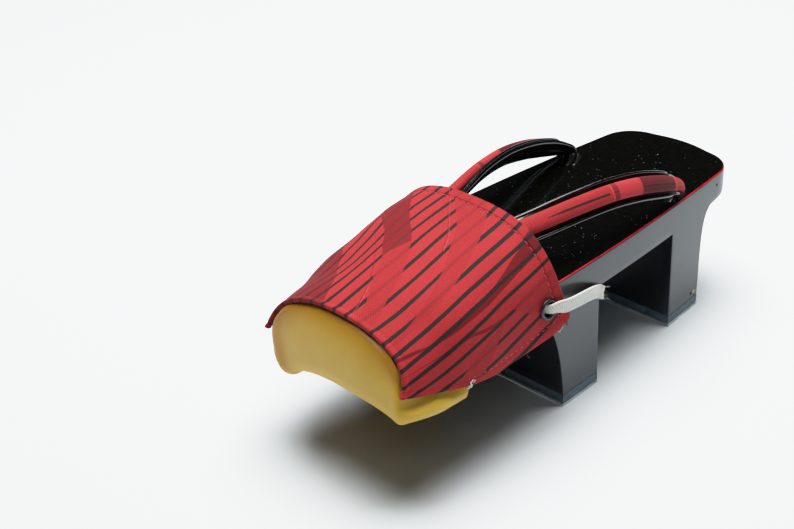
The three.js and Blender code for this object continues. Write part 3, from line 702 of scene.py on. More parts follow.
# Where each stripe lies: millimetres from the crown along the cloth, for rows at these places.
stripeLay = {
    "spacing": 6.9,
    "span": 180,  # the width in millimetres of the sheet that the pattern is laid on
    "stripes": list(range(-12, 13)),
    "rows": {
        0.0: [-78, -71.5, -65, -59, -53, -46.5, -40.5, -34.2, -28, -21.4, -15, -8.5, -1.9, 4.7, 11.7, 18.7, 25.8,
              32.4, 38.6, 44.8, 50.6, 56.5, 62.4, 68, 74],
        0.15: [-79, -72.5, -66, -59.5, -53, -46.5, -39.6, -32, -25.3, -19.6, -13.8, -7.8, -1.2, 6.0, 13.4, 20.7, 27.2,
               33.6, 39.8, 46.1, 52.5, 59.3, 65.2, 71, 77],
        0.35: [-80, -73, -66.3, -59.5, -52.5, -45.3, -38, -30.6, -23.6, -17.8, -13.4, -7.7, -1.0, 6.6, 14.2, 21.4, 28.1,
               34.8, 41.1, 47.8, 53.9, 61, 68, 74.6, 81],
        0.5: [-80, -73, -66.3, -59.5, -52.5, -45.3, -38, -30.8, -24, -18, -13.6, -8.2, -1.2, 6.1, 13.6, 20.8, 27.7,
              34.1, 40.7, 47.2, 53.4, 60.1, 67.2, 74.4, 81],
        0.65: [-80, -73, -66.3, -59.5, -52.5, -45.3, -38.4, -31.6, -25, -18.8, -13.8, -8.2, -1.8, 5.3, 12.7, 19.9, 26.9,
               33.6, 39.7, 45.7, 52.3, 58.8, 65.1, 73.6, 80],
        0.8: [-80, -73, -66.3, -59.5, -52.5, -45.3, -38.4, -31.8, -25.2, -18.7, -13.2, -7.4, -1.4, 5.3, 12.4, 19.4,
              26.5, 33, 39.1, 45.1, 50.9, 57.2, 63.4, 71.2, 78],
        1.0: [-80, -73, -66.3, -59.5, -52.5, -45.3, -38.4, -31.8, -25.3, -17.7, -11.8, -5.8, 0.1, 6.1, 12.5, 19.1, 26.1,
              32.6, 38.8, 44.6, 49.8, 55.8, 61.4, 68, 75],
    },
}


def coverPoint(u, v):  # u runs round the arch from the +X foot (0) to the -X foot (1)
    u, v = np.broadcast_arrays(np.asarray(u, float), np.asarray(v, float))
    row = readTable(cover["sections"], np.clip(v, 0, 1))
    angle = u * math.pi
    rise = np.maximum(0, np.sin(angle)) ** (2 / row[..., 6])
    reach = np.sign(np.cos(angle)) * np.abs(np.cos(angle)) ** (2 / row[..., 6])
    crown = 1 - (1 - rise) ** 2.8
    return np.stack([row[..., 3] * reach, row[..., 1] + (row[..., 4] - row[..., 1]) * crown,
                     row[..., 2] + (row[..., 5] - row[..., 2]) * rise], -1)


def outwardFrom(point, u, v, step=0.002):
    across = point(np.minimum(u + step, 1), v) - point(np.maximum(u - step, 0), v)
    along = point(u, np.minimum(v + step, 1)) - point(u, np.maximum(v - step, 0))
    return unit(np.cross(along, across))


def arcTable(rows=41, fine=601):  # how far each u is from the crown, in millimetres, for every row
    u = np.linspace(0, 1, fine)
    v = np.linspace(0, 1, rows)
    points = coverPoint(u[None, :], v[:, None])
    steps = np.linalg.norm(np.diff(points, axis=1), axis=2)
    arc = np.concatenate([np.zeros((rows, 1)), np.cumsum(steps, 1)], 1)
    return u, v, arc[:, fine // 2][:, None] - arc


arcU, arcV, arcX = arcTable()


def arcAt(u, v):  # millimetres from the crown, positive towards +X
    u, v = np.broadcast_arrays(np.asarray(u, float), np.asarray(v, float))
    place = np.clip(v, 0, 1) * (len(arcV) - 1)
    low = np.minimum(place.astype(int), len(arcV) - 2)
    share = place - low
    column = np.clip(u, 0, 1) * (len(arcU) - 1)
    left = np.minimum(column.astype(int), len(arcU) - 2)
    part = column - left
    row = lambda n: arcX[n, left] * (1 - part) + arcX[n, left + 1] * part
    return row(low) * (1 - share) + row(low + 1) * share


def layAt(x, v):  # which stripe lies at x millimetres from the crown, as a number, in row v
    keys = sorted(stripeLay["rows"])
    lines = np.array([[key] + stripeLay["rows"][key] for key in keys], float)
    x, v = np.broadcast_arrays(np.asarray(x, float), np.asarray(v, float))
    at = readTable(lines, v)[..., 1:]
    flatX, flatAt = x.ravel(), at.reshape(-1, at.shape[-1])
    spare = 10 * stripeLay["spacing"]  # carries on at the same spacing past both ends
    wide = np.hstack([flatAt[:, :1] - spare, flatAt, flatAt[:, -1:] + spare])
    stripes = [stripeLay["stripes"][0] - 10, *stripeLay["stripes"], stripeLay["stripes"][-1] + 10]
    number = [np.interp(a, line, stripes) for a, line in zip(flatX, wide)]
    return np.array(number).reshape(x.shape)


def acrossLay(number):  # a stripe number as a share of the pattern's sheet
    return (number * stripeLay["spacing"] + stripeLay["span"] / 2) / stripeLay["span"]


def uAtArc(x, v):  # the u at x millimetres from the crown in row v
    place = v * (len(arcV) - 1)
    low = min(int(place), len(arcV) - 2)
    row = arcX[low] + (arcX[low + 1] - arcX[low]) * (place - low)
    return float(np.interp(-x, -row, arcU))


def seamX(v):  # how far from the crown the lower stitching runs
    return np.interp(v, cover["seamAt"], cover["seamBy"])


def trimmed(u, v):  # the columns drawn in to where the cloth ends
    half = arcAt(np.zeros_like(v), v)
    short = np.minimum(np.interp(v, cover["endAt"], cover["endBy"]), half)
    x = arcAt(u, v)
    over = np.clip((np.abs(x) - 55) / (half - 55), 0, 1)
    wanted = np.sign(x) * np.where(np.abs(x) > 55, 55 + over * (short - 55), np.abs(x))
    place = np.clip(v, 0, 1) * (len(arcV) - 1)
    low = np.minimum(place.astype(int), len(arcV) - 2)
    share = place - low
    out = np.empty_like(u)
    for index in np.ndindex(u.shape):
        row = arcX[low[index]] * (1 - share[index]) + arcX[low[index] + 1] * share[index]
        out[index] = np.interp(-wanted[index], -row, arcU)
    return out


def clothSurface(u, v):  # the cover with its hems, seams and slack
    base = coverPoint(u, v)
    out = outwardFrom(coverPoint, u, v)
    x = arcAt(u, v)
    seam = seamX(v) - np.abs(x)
    fold = 0.5 * (1 - smoothStep(0.6, 1.0, v / cover["frontHem"]))
    fold += 0.3 * smoothStep(cover["rearSeam"], cover["rearSeam"] + 0.008, v)
    fold -= 0.32 * np.exp(-((v - cover["rearSeam"]) / 0.006) ** 2)
    fold -= 0.12 * np.exp(-((v - cover["frontHem"]) / 0.006) ** 2)
    fold += 0.25 * (1 - smoothStep(-0.6, 0.1, seam)) - 0.3 * np.exp(-(seam / 0.6) ** 2)
    flap = (1 - smoothStep(-5, 0, seam)) * smoothStep(0.5, 1.0, v) * 0.8
    pucker = 0.1 * np.sin(x * 2 * math.pi / 3.3) * np.exp(-((v - cover["rearSeam"]) * cover["length"] / 3) ** 2)
    pucker += 0.1 * np.sin(v * cover["length"] * 2 * math.pi / 3.3) * np.exp(-(seam / 3) ** 2)
    slack = 0.22 * np.sin(x / 7.3 + 2.1 * v + 0.6) * np.sin(v * 7.1 + x / 31)
    slack += 0.16 * np.sin(x / 4.1 - 5 * v) * smoothStep(0.3, 0.9, v) * smoothStep(20, 45, x)
    crest = np.interp(v, cover["crestAt"], cover["crestBy"]) * np.exp(-((x + 30) / 17) ** 2)
    return base + out * (fold + flap + pucker + slack + crest)[..., None], out


def toeCover(cloth, lining):
    v = np.linspace(0.055, 0.925, cover["rows"] - 18)
    v = np.concatenate([np.linspace(0, 0.04, 6), v, np.linspace(0.934, 1, 12)])
    middle = np.linspace(-66, 66, cover["columns"] - 12)
    span = arcX[20][0]
    edges = span - np.array([0, 1.0, 2.1, 3.3, 4.5, 5.8])
    lines = np.concatenate([edges, middle[::-1], -edges[::-1]])
    u = np.array([np.interp(-x, -arcX[20], arcU) for x in lines])
    gridU, gridV = np.meshgrid(u, v, indexing="ij")
    gridU = trimmed(gridU, gridV)
    # the rear corners are cut round
    edge = np.interp(gridV, cover["endAt"], cover["endBy"])
    corner = np.clip(1 - (edge - np.abs(arcAt(gridU, gridV))) / 4, 0, 1)
    ease = np.clip((gridV - 0.9) / 0.1, 0, 1) ** 2
    gridV = gridV - (1 - np.sqrt(1 - corner ** 2)) * 0.03 * ease
    outer, out = clothSurface(gridU, gridV)
    deep = cover["thick"] + 1.3 * (1 - smoothStep(0.7, 1.0, gridV / cover["frontHem"]))
    inner = outer - out * deep[..., None]
    lay = np.stack([acrossLay(layAt(arcAt(gridU, gridV), gridV)), gridV], -1)
    columns, rows = gridU.shape
    points = np.concatenate([outer.reshape(-1, 3), inner.reshape(-1, 3)])
    half = columns * rows
    faces = gridFaces(columns, rows) + gridFaces(columns, rows, half, flip=True)
    slots = [0] * (len(faces) // 2) + [1] * (len(faces) // 2)
    edge = edgeFaces(columns, rows)
    faces, slots = faces + edge, slots + [0] * len(edge)
    piece = addPiece("toeCover", points, faces, [cloth, lining], slots, uv=np.concatenate([lay, lay]).reshape(-1, 2))
    punchEyelets(piece)
    subdivide(piece)
    return piece


eyelets = {"u": 0.07, "v": 0.892, "hole": 3.0, "barrel": 3.5, "flange": 4.7, "rim": 0.9, "lift": 0.45}


def eyeletSeat(side):
    u, v = np.array(eyelets["u"]), np.array(eyelets["v"])
    out = outwardFrom(coverPoint, u, v)
    at = coverPoint(u, v) - out * 0.7
    return at * (side, 1, 1), out * (side, 1, 1)


def punchEyelets(piece):
    # the cloth's faces inside the eyelets' barrels go, and the flanges hide the cut
    work = bmesh.new()
    work.from_mesh(piece.data)
    for side in (1, -1):
        at, out = eyeletSeat(side)
        at, out = Vector((at + (0, shiftY, 0)) * 0.001), Vector(out)
        gone = []
        for face in work.faces:
            away = face.calc_center_median() - at
            flat = away - out * away.dot(out)
            if flat.length < 0.0034 and abs(away.dot(out)) < 0.006:
                gone.append(face)
        bmesh.ops.delete(work, geom=gone, context="FACES")
    work.to_mesh(piece.data)
    work.free()


# Lines of the woven pattern, as (row, stripe number) points; each divides the cloth into a left and a right side.
patternLines = {
    "leftLeaf": [(0.0, -1.1), (0.12, -2), (0.21, -3), (0.27, -4), (0.37, -5), (0.48, -6), (0.62, -7), (1.0, -10)],
    "bandTop": [(0.0, 1.75), (0.13, 1.05), (0.27, 0), (0.42, -1), (0.49, -2), (0.57, -3), (0.64, -4), (0.71, -5),
                (1.0, -8.5)],
    "bandFoot": [(0.0, 2.9), (0.17, 2), (0.39, 1), (0.54, 0), (0.64, -1), (0.7, -2), (0.77, -3), (0.87, -4),
                 (1.0, -5.4)],
    "bandTip": [(0.0, -1.6), (0.4, -1.15), (0.48, -0.8), (0.56, -0.45), (0.7, 0.4), (1.0, 1)],
    "secondTop": [(0.0, 4.3), (0.18, 4), (0.47, 3), (0.65, 2), (0.8, 1), (0.875, 0), (0.94, -1), (1.0, -2.1)],
    "secondFoot": [(0.0, 4.4), (0.15, 4.5), (0.3, 4.38), (0.42, 4.2), (0.5, 4), (0.77, 3), (0.92, 2), (1.0, 1.2)],
    "leafLeft": [(0.0, 5.15), (0.12, 5.6), (0.19, 5.9), (0.3, 6.04), (0.5, 5.98), (0.57, 5.9), (0.64, 5.84),
                 (0.73, 5.62), (0.82, 5.32), (0.9, 5.08), (0.94, 4.84), (1.0, 4.7)],
    "leafRight": [(0.0, 5.42), (0.12, 5.8), (0.2, 6.05), (0.29, 6.28), (0.4, 6.4), (0.5, 6.46), (0.6, 6.48), (0.7, 6.4),
                  (0.82, 6.27), (0.9, 6.2), (1.0, 6.12)],
    "slipLeft": [(0.0, 6.4), (0.25, 6.86), (0.37, 7.0), (0.47, 7.42), (0.57, 7.72), (0.63, 7.86), (0.75, 7.9),
                 (1.0, 7.6)],
    "slipRight": [(0.0, 6.42), (0.25, 6.96), (0.37, 7.2), (0.47, 7.66), (0.57, 7.98), (0.63, 8.06), (0.75, 7.92),
                  (1.0, 7.6)],
    "rightTop": [(0.0, 12), (0.2, 10.4), (0.33, 9), (0.5, 8.4), (0.62, 8), (0.66, 7.9), (1.0, 7.6)],
    "rightFoot": [(0.0, 12), (0.3, 10.6), (0.45, 10), (0.66, 7.92), (0.7, 8.05), (0.77, 9), (0.83, 9.6), (1.0, 11)],
    # the two Thread lines are fine creases, drawn below as painted shade and painted highlight
    "firstThread": [(0.0, 1.2), (0.3, -0.45), (0.43, -1.9), (0.5, -3), (0.58, -4.1), (1.0, -9)],
    "secondThread": [(0.0, 6), (0.6, 1.87), (0.72, 1.12), (0.83, -0.1), (0.97, -2), (1.0, -2.5)],
}
clothColours = {
    "ground": "#A62328",
    "light": "#B02C31",
    "dim": "#9A1F25",
    # the leaf red also serves as the painted shade of the fine creases
    "leaf": "#6A070E",
    "shade": "#74121A",
    "stripe": "#261B1D",
    "creaseHighlight": "#CC5A5F",
}
clothSheen = {
    "IOR": 1.5,
    "Sheen Weight": 0.1,
    "Sheen Roughness": 0.45,
    "Sheen Tint": hexColour("#FFC4C4"),
    "Specular IOR Level": 0.25,
}


def stripedCloth():
    # Plain-woven rayon and cotton with the stripes and leaves printed in the warp: matt, with a soft pink bloom at
    # glancing angles. The threads are 0.25 mm apart, drawn at 0.6 mm so that they show.
    material, tree, shader = newMaterial("warpPrintedCotton", {"Roughness": 0.82, **clothSheen})
    lay = addNode(tree, "UVMap", {"uv_map": "lay"})
    split = addNode(tree, "SeparateXYZ", links={0: lay})
    across, along = split.outputs[0], split.outputs[1]
    where = addNode(tree, "NewGeometry").outputs["Position"]
    # warp threads end unevenly, which frays every printed edge by a thread or two
    fray = addNode(tree, "TexNoise", {"noise_dimensions": "1D", 2: 260, 3: 0}, {1: across})
    row = addNode(tree, "Math", {"operation": "MULTIPLY_ADD", 1: 0.012, 2: -0.006}, {0: fray})
    row = addNode(tree, "Math", {"operation": "ADD", "use_clamp": True}, {0: row, 1: along})
    sides = {}
    for name, line in patternLines.items():
        curve = [(v, acrossLay(n)) for v, n in line]
        edge = addNode(tree, "FloatCurve", {}, {1: row}, curve)
        away = addNode(tree, "Math", {"operation": "SUBTRACT"}, {0: edge, 1: across})
        if "Thread" in name:
            sides[name] = away
            continue
        sides[name] = addNode(tree, "MapRange", {1: -0.0009, 2: 0.0009}, {0: away})

    def between(left, right):
        return addNode(tree, "Math", {"operation": "SUBTRACT", "use_clamp": True}, {0: sides[right], 1: sides[left]})

    def both(a, b, how="MULTIPLY"):
        return addNode(tree, "Math", {"operation": how, "use_clamp": True}, {0: a, 1: b})

    band, second = between("bandTop", "bandFoot"), between("secondTop", "secondFoot")
    leaf, slip = between("leafLeft", "leafRight"), between("slipLeft", "slipRight")
    right = between("rightFoot", "rightTop")
    right = both(right, between("rightTop", "rightFoot"), "MAXIMUM")
    bandDark = both(band, sides["bandTip"])
    dark = both(sides["leftLeaf"], bandDark, "MAXIMUM")
    faded = both(both(band, second, "MAXIMUM"), right, "MAXIMUM")
    # stripes
    wide = stripeLay["span"] / stripeLay["spacing"]
    count = addNode(tree, "Math", {"operation": "MULTIPLY_ADD", 1: wide, 2: 0.5 - wide / 2}, {0: across})
    part = addNode(tree, "Math", {"operation": "FRACT"}, {0: count})
    off = addNode(tree, "Math", {"operation": "SUBTRACT", 1: 0.5}, {0: part})
    off = addNode(tree, "Math", {"operation": "ABSOLUTE"}, {0: off})
    wobble = addNode(tree, "TexNoise", {2: 1500, 3: 1}, {0: where})
    off = addNode(tree, "Math", {"operation": "MULTIPLY_ADD", 1: 0.03}, {0: wobble, 2: off})
    swell = addNode(tree, "TexNoise", {2: 42, 3: 1}, {0: where})  # broader and finer by turns
    off = addNode(tree, "Math", {"operation": "MULTIPLY_ADD", 1: 0.08}, {0: swell, 2: off})
    stripe = addNode(tree, "MapRange", {1: 0.204, 2: 0.17}, {0: off})
    hush = addNode(tree, "MapRange", {3: 1.0, 4: 0.26}, {0: faded})
    hushDark = addNode(tree, "MapRange", {3: 1.0, 4: 0.8}, {0: dark})
    hush = both(hush, both(hushDark, addNode(tree, "MapRange", {3: 0.0, 4: 0.5}, {0: bandDark}), "ADD"))
    stripe = both(stripe, hush)
    # fields of red
    colour = hexColour(clothColours["ground"])
    blotch = addNode(tree, "TexNoise", {2: 60, 3: 3}, {0: where})
    field = addNode(tree, "Mix", {"data_type": "RGBA", 6: colour, 7: hexColour(clothColours["light"])},
                    {0: blotch})
    layers = [(both(band, second, "MAXIMUM"), "dim", 0.55), (right, "dim", 0.5), (dark, "shade", 0.85),
              (slip, "leaf", 0.8), (leaf, "leaf", 0.95), (stripe, "stripe", 1.0)]
    for mask, name, weight in layers:
        share = addNode(tree, "Math", {"operation": "MULTIPLY", 1: weight}, {0: mask})
        field = addNode(tree, "Mix", {"data_type": "RGBA", 7: hexColour(clothColours[name])},
                        {0: share, 6: field})
    # fine creases, each drawn as a dark line of painted shade beside a light line of painted highlight
    for name, spans in (("firstThread", ((0.0, 0.6), (0.0, 0.22))), ("secondThread", ((0.58, 1.0), (0.6, 1.0)))):
        for (low, high), shift, code, weight in ((spans[0], 0.0, "leaf", 0.7), (spans[1], 0.0035, "creaseHighlight", 0.35)):
            after = addNode(tree, "Math", {"operation": "GREATER_THAN", 1: low}, {0: along})
            before = addNode(tree, "Math", {"operation": "LESS_THAN", 1: high}, {0: along})
            away = addNode(tree, "Math", {"operation": "ADD", 1: shift}, {0: sides[name]})
            away = addNode(tree, "Math", {"operation": "ABSOLUTE"}, {0: away})
            line = addNode(tree, "MapRange", {1: 0.0013, 2: 0.0006, 4: weight}, {0: away})
            line = both(both(line, after), before)
            field = addNode(tree, "Mix", {"data_type": "RGBA", 7: hexColour(clothColours[code])},
                            {0: line, 6: field})
    weave = weaveHeight(tree, across, along, stripeLay["span"], cover["length"])
    tone = addNode(tree, "MapRange", {1: 0.15, 2: 0.9, 3: 0.78, 4: 1.2}, {0: weave})
    field = addNode(tree, "VectorMath", {"operation": "SCALE"}, {0: field, 3: tone})
    wire(tree, field, shader, "Base Color")
    bump = addNode(tree, "Bump", {0: 0.5, 1: 0.00012}, {"Height": weave})
    wire(tree, bump, shader, "Normal")
    return material


def weaveHeight(tree, across, along, width, length, pitch=0.6):  # over-and-under of a plain weave
    waves = []
    for source, extent in ((across, width), (along, length)):
        angle = addNode(tree, "Math", {"operation": "MULTIPLY", 1: extent * math.pi / pitch}, {0: source})
        waves.append(addNode(tree, "Math", {"operation": "SINE"}, {0: angle}))
    weft = addNode(tree, "Math", {"operation": "MULTIPLY"}, {0: waves[0], 1: waves[1]})
    where = addNode(tree, "NewGeometry").outputs["Position"]
    slub = addNode(tree, "TexNoise", {2: 1500, 3: 2}, {0: where})
    return addNode(tree, "Math", {"operation": "MULTIPLY_ADD", 1: 0.3}, {0: weft, 2: slub})


def liningCloth():
    # Plain dark red cotton facing on the inside of the cover: matt, close-woven, lightly creased.
    material, tree, shader = newMaterial("plainCottonFacing", {
        "Roughness": 0.9, "IOR": 1.5, "Sheen Weight": 0.2, "Specular IOR Level": 0.2})
    lay = addNode(tree, "UVMap", {"uv_map": "lay"})
    split = addNode(tree, "SeparateXYZ", links={0: lay})
    weave = weaveHeight(tree, *split.outputs[:2], stripeLay["span"], cover["length"])
    tone = addNode(tree, "MapRange", {3: 0.8, 4: 1.1}, {0: weave})
    field = addNode(tree, "VectorMath", {"operation": "SCALE", 0: hexColour("#5A1218")[:3]}, {3: tone})
    wire(tree, field, shader, "Base Color")
    bump = addNode(tree, "Bump", {0: 0.5, 1: 0.00012}, {"Height": weave})
    wire(tree, bump, shader, "Normal")
    return material


printedCloth, facingCloth = stripedCloth(), liningCloth()
clothCover = toeCover(printedCloth, facingCloth)
settle(clothCover, "red_cloth", "toe_cover")
print("cloth cover made")


def coverStitches():
    long, gap = cover["stitch"]
    paths = []

    def run(line, out):
        length = runAlong(line)
        start = 0.6
        while start + long < length[-1]:
            t = np.linspace(start, start + long, 6)
            at = np.stack([np.interp(t, length, line[:, k]) for k in range(3)], 1)
            up = unit(np.stack([np.interp(t, length, out[:, k]) for k in range(3)], 1))
            lift = np.array([-0.25, 0.1, 0.2, 0.2, 0.1, -0.25])[:, None]
            paths.append(at + up * lift)
            start += long + gap

    u = np.linspace(0.004, 0.996, 500)
    line, out = clothSurface(u, np.full_like(u, cover["rearSeam"]))
    keep = np.abs(arcAt(u, cover["rearSeam"])) < cover["stitchEnd"]
    run(line[keep], out[keep])
    for side in (1, -1):
        v = np.linspace(0.33, cover["rearSeam"], 120)
        u = np.array([uAtArc(side * seamX(w), w) for w in v])
        line, out = clothSurface(u, v)
        run(line, out)
    return manyTubes([(cover["threadRadius"], path) for path in paths], 6)


def threadFinish(name, code):
    # Spun polyester sewing thread: two plies twisted once in 0.8 mm, with a slight shine along the twist.
    material, tree, shader = newMaterial(name, {"Base Color": hexColour(code), "Roughness": 0.55, "Sheen Weight": 0.3})
    where = addNode(tree, "NewGeometry").outputs["Position"]
    ply = addNode(tree, "TexWave", {1: 1250, 2: 2}, {0: where})
    tone = addNode(tree, "MapRange", {3: 0.75, 4: 1.1}, {0: ply.outputs[1]})
    field = addNode(tree, "VectorMath", {"operation": "SCALE", 0: hexColour(code)[:3]}, {3: tone})
    wire(tree, field, shader, "Base Color")
    bump = addNode(tree, "Bump", {0: 0.4, 1: 0.0001}, {"Height": ply.outputs[1]})
    wire(tree, bump, shader, "Normal")
    return material


redThread = threadFinish("redSewingThread", "#C4444C")
points, faces = coverStitches()
stitches = addPiece("coverStitches", points, faces, [redThread])
settle(stitches, "red_cloth")
print("stitches", len(faces), "faces")


# The rubber cap that closes the cover's front and wraps the board's nose.
cap = {
    "levels": 8,
    "stations": [  # share, then eight points from the tuck to the end under the board
        (0, 42.5, -85.6, 53, 42.5, -85.8, 49, 42.6, -86.2, 45.6, 43.4, -86.8, 42.6,
         44.4, -87.8, 39.8, 43.8, -88.8, 37.6, 41, -89.4, 38.6, 39.8, -89.8, 41.8),
        (0.2, 40.6, -98, 53, 40.7, -98.4, 49, 40.7, -98.8, 46.4, 42, -99.4, 44.2,
         44.4, -100.4, 41, 43.9, -101.2, 38.2, 41.8, -101.2, 38.4, 38.2, -100, 43.2),
        (0.36, 38.6, -105.4, 54, 38.8, -106, 50, 39, -106.6, 46.8, 40.8, -107.2, 44.6,
         43.6, -108.6, 41.8, 43.4, -109.4, 39, 40.8, -109, 39, 35.8, -106, 44),
        (0.48, 36, -111.6, 56.5, 36.4, -112.8, 52, 37.9, -114.2, 48.4, 39.4, -115.6, 45.4,
         41.8, -117.2, 42.8, 41.6, -117.6, 40, 38.8, -115.6, 39, 33, -109.4, 44.4),
        (0.6, 33.6, -115.4, 59, 34.8, -117.8, 55.4, 36.2, -119.4, 51, 37.6, -120.8, 46.6,
         38.8, -121.8, 42.6, 38.4, -121, 39.2, 35.6, -117.6, 38.6, 29.4, -110.6, 45),
        (0.7, 28.6, -115.4, 63.4, 29.4, -117.5, 60.4, 31, -119.6, 54, 32.6, -121, 48.6,
         33.2, -121.9, 43, 32.8, -120.6, 39.8, 31, -116.6, 39.8, 26.4, -109.4, 45.4),
        (0.8, 20.4, -113.8, 66.6, 21.8, -116.5, 64.8, 23.6, -119.7, 57.5, 25, -121.4, 50.5,
         25, -121.9, 44.4, 24.6, -120.4, 40.8, 23.6, -115.6, 41, 21, -108, 45.8),
        (0.9, 10.4, -113.2, 69.1, 11.4, -116, 67.7, 12.6, -119.6, 61, 13, -121.6, 52,
         13, -121.9, 44.8, 13, -120.2, 41.2, 12, -115.2, 41.6, 11, -106.6, 46),
        (1, 0, -113, 69.6, 0, -115.8, 68.4, 0, -119.6, 61.5, 0, -121.7, 52.5,
         0, -121.9, 45, 0, -120, 41.5, 0, -115, 42.1, 0, -106, 46.2),
    ],
    "sag": (0.68, 0.17, 5.6, 8.8),  # place, width, drop and how far inwards, on the -X corner
    "tuckIn": ((0.52, 0.17, 0.66, 0.17, 2.8), (0.5, 0.16, 0.3, 0.14, -1.5)),  # share, width, level, width, inwards
    "thick": 1.15,
    "around": 150,
    "down": 66,
}


def centripetal(points, t):  # a smooth curve through a station's points; t from 0 to 1
    count = points.shape[-2]
    place = np.clip(t, 0, 1) * (count - 1)
    i = np.minimum(place.astype(int), count - 2)
    part = (place - i)[..., None]
    pick = lambda n: np.take_along_axis(points, np.clip(n, 0, count - 1)[..., None, None], -2)[..., 0, :]
    p1, p2 = pick(i), pick(i + 1)
    p0 = np.where((i > 0)[..., None], pick(i - 1), 2 * p1 - p2)
    p3 = np.where((i + 2 < count)[..., None], pick(i + 2), 2 * p2 - p1)
    gaps = [np.maximum(((b - a) ** 2).sum(-1, keepdims=True), 1e-9) ** 0.25 for a, b in ((p0, p1), (p1, p2), (p2, p3))]
    d0, d1, d2 = gaps
    s1 = ((p1 - p0) / d0 - (p2 - p0) / (d0 + d1) + (p2 - p1) / d1) * d1
    s2 = ((p2 - p1) / d1 - (p3 - p1) / (d1 + d2) + (p3 - p2) / d2) * d1
    return p1 + s1 * part + (3 * (p2 - p1) - 2 * s1 - s2) * part ** 2 + (2 * (p1 - p2) + s1 + s2) * part ** 3


def capPoint(s, t):
    s, t = np.broadcast_arrays(np.asarray(s, float), np.asarray(t, float))
    share = 1 - np.abs(2 * s - 1)
    rows = readTable(cap["stations"], share)[..., 1:]
    point = centripetal(rows.reshape(*rows.shape[:-1], cap["levels"], 3), t)
    place, width, drop, inwards = cap["sag"]
    fallen = slack = np.exp(-((share - place) / width) ** 2) * smoothStep(0.12, 0.62, t) * (s > 0.5)
    for where, wide, level, tall, much in cap["tuckIn"]:
        slack = slack + (s > 0.5) * much / inwards * np.exp(-((share - where) / wide) ** 2 - ((t - level) / tall) ** 2)
    x = np.where(s > 0.5, inwards * slack - point[..., 0], point[..., 0])
    return np.stack([x, point[..., 1], point[..., 2] - drop * fallen], -1)


def toeCap(latex):
    s, t = np.meshgrid(np.linspace(0, 1, cap["around"]), np.linspace(0, 1, cap["down"]), indexing="ij")
    outer = capPoint(s, t)
    out = -outwardFrom(capPoint, s, t)
    if (out[cap["around"] // 2, cap["down"] // 3] @ np.array((0, -1, 0))) < 0:
        out = -out
    share = 1 - np.abs(2 * s - 1)
    ripple = 0.25 * np.sin(share * 19 + t * 5) * np.exp(-((t - 0.45) / 0.2) ** 2) * smoothStep(0.05, 0.5, 1 - share)
    outer = outer + out * ripple[..., None]
    inner = outer - out * cap["thick"]
    columns, rows = s.shape
    half = columns * rows
    points = np.concatenate([outer.reshape(-1, 3), inner.reshape(-1, 3)])
    faces = gridFaces(columns, rows) + gridFaces(columns, rows, half, flip=True)
    faces += edgeFaces(columns, rows)
    lay = np.stack([s, t], -1).reshape(-1, 2)
    piece = addPiece("toeCap", points, faces, [latex], uv=np.concatenate([lay, lay]))
    subdivide(piece)
    return piece


def latexFinish():
    # Natural rubber sheet, moulded: a satin skin over a cloudy amber body that glows orange where it is thin or folded.
    # The glow round the -X corner is painted into the colour as a deeper orange, and the hem's shadow is painted brown
    # along the top rows.
    material, tree, shader = newMaterial("naturalLatexSheet", {
        "IOR": 1.52, "Subsurface Weight": 0.3, "Subsurface Radius": (1.0, 0.55, 0.12), "Subsurface Scale": 0.004})
    where = addNode(tree, "NewGeometry").outputs["Position"]
    cloud = addNode(tree, "TexNoise", {2: 38, 3: 3}, {0: where})
    tone = addNode(tree, "MapRange", {1: 0.35, 2: 0.65}, {0: cloud})
    colour = addNode(tree, "Mix", {"data_type": "RGBA", 6: hexColour("#CDA02A"), 7: hexColour("#D2AC3A")},
                     {0: tone})
    lay = addNode(tree, "UVMap", {"uv_map": "lay"})
    around, down = addNode(tree, "SeparateXYZ", links={0: lay}).outputs[:2]
    corner = addNode(tree, "MapRange", {1: 0.58, 2: 0.7, 4: 0.9}, {0: around})  # painted glow: the -X corner and side are painted a deeper orange, as light coming through thin rubber
    colour = addNode(tree, "Mix", {"data_type": "RGBA", 7: hexColour("#B88010")},
                     {0: corner, 6: colour})
    # painted shadow of the cloth hem: the rows nearest the tuck are painted brown
    under = addNode(tree, "MapRange", {1: 0.36, 2: 0.14, 4: 0.85}, {0: down})
    under = addNode(tree, "Math", {"operation": "POWER", 1: 1.8}, {0: under})
    colour = addNode(tree, "Mix", {"data_type": "RGBA", 7: hexColour("#97600E")}, {0: under, 6: colour})
    wire(tree, colour, shader, "Base Color")
    skin = addNode(tree, "TexNoise", {2: 700, 3: 3}, {0: where})
    rough = addNode(tree, "MapRange", {3: 0.36, 4: 0.5}, {0: skin})
    wire(tree, rough, shader, "Roughness")
    bump = addNode(tree, "Bump", {0: 0.12, 1: 0.0001}, {"Height": skin})
    wire(tree, bump, shader, "Normal")
    return material


rubberCap = toeCap(latexFinish())
settle(rubberCap, "yellow_latex", "toe_rubber")
print("toe cap made")


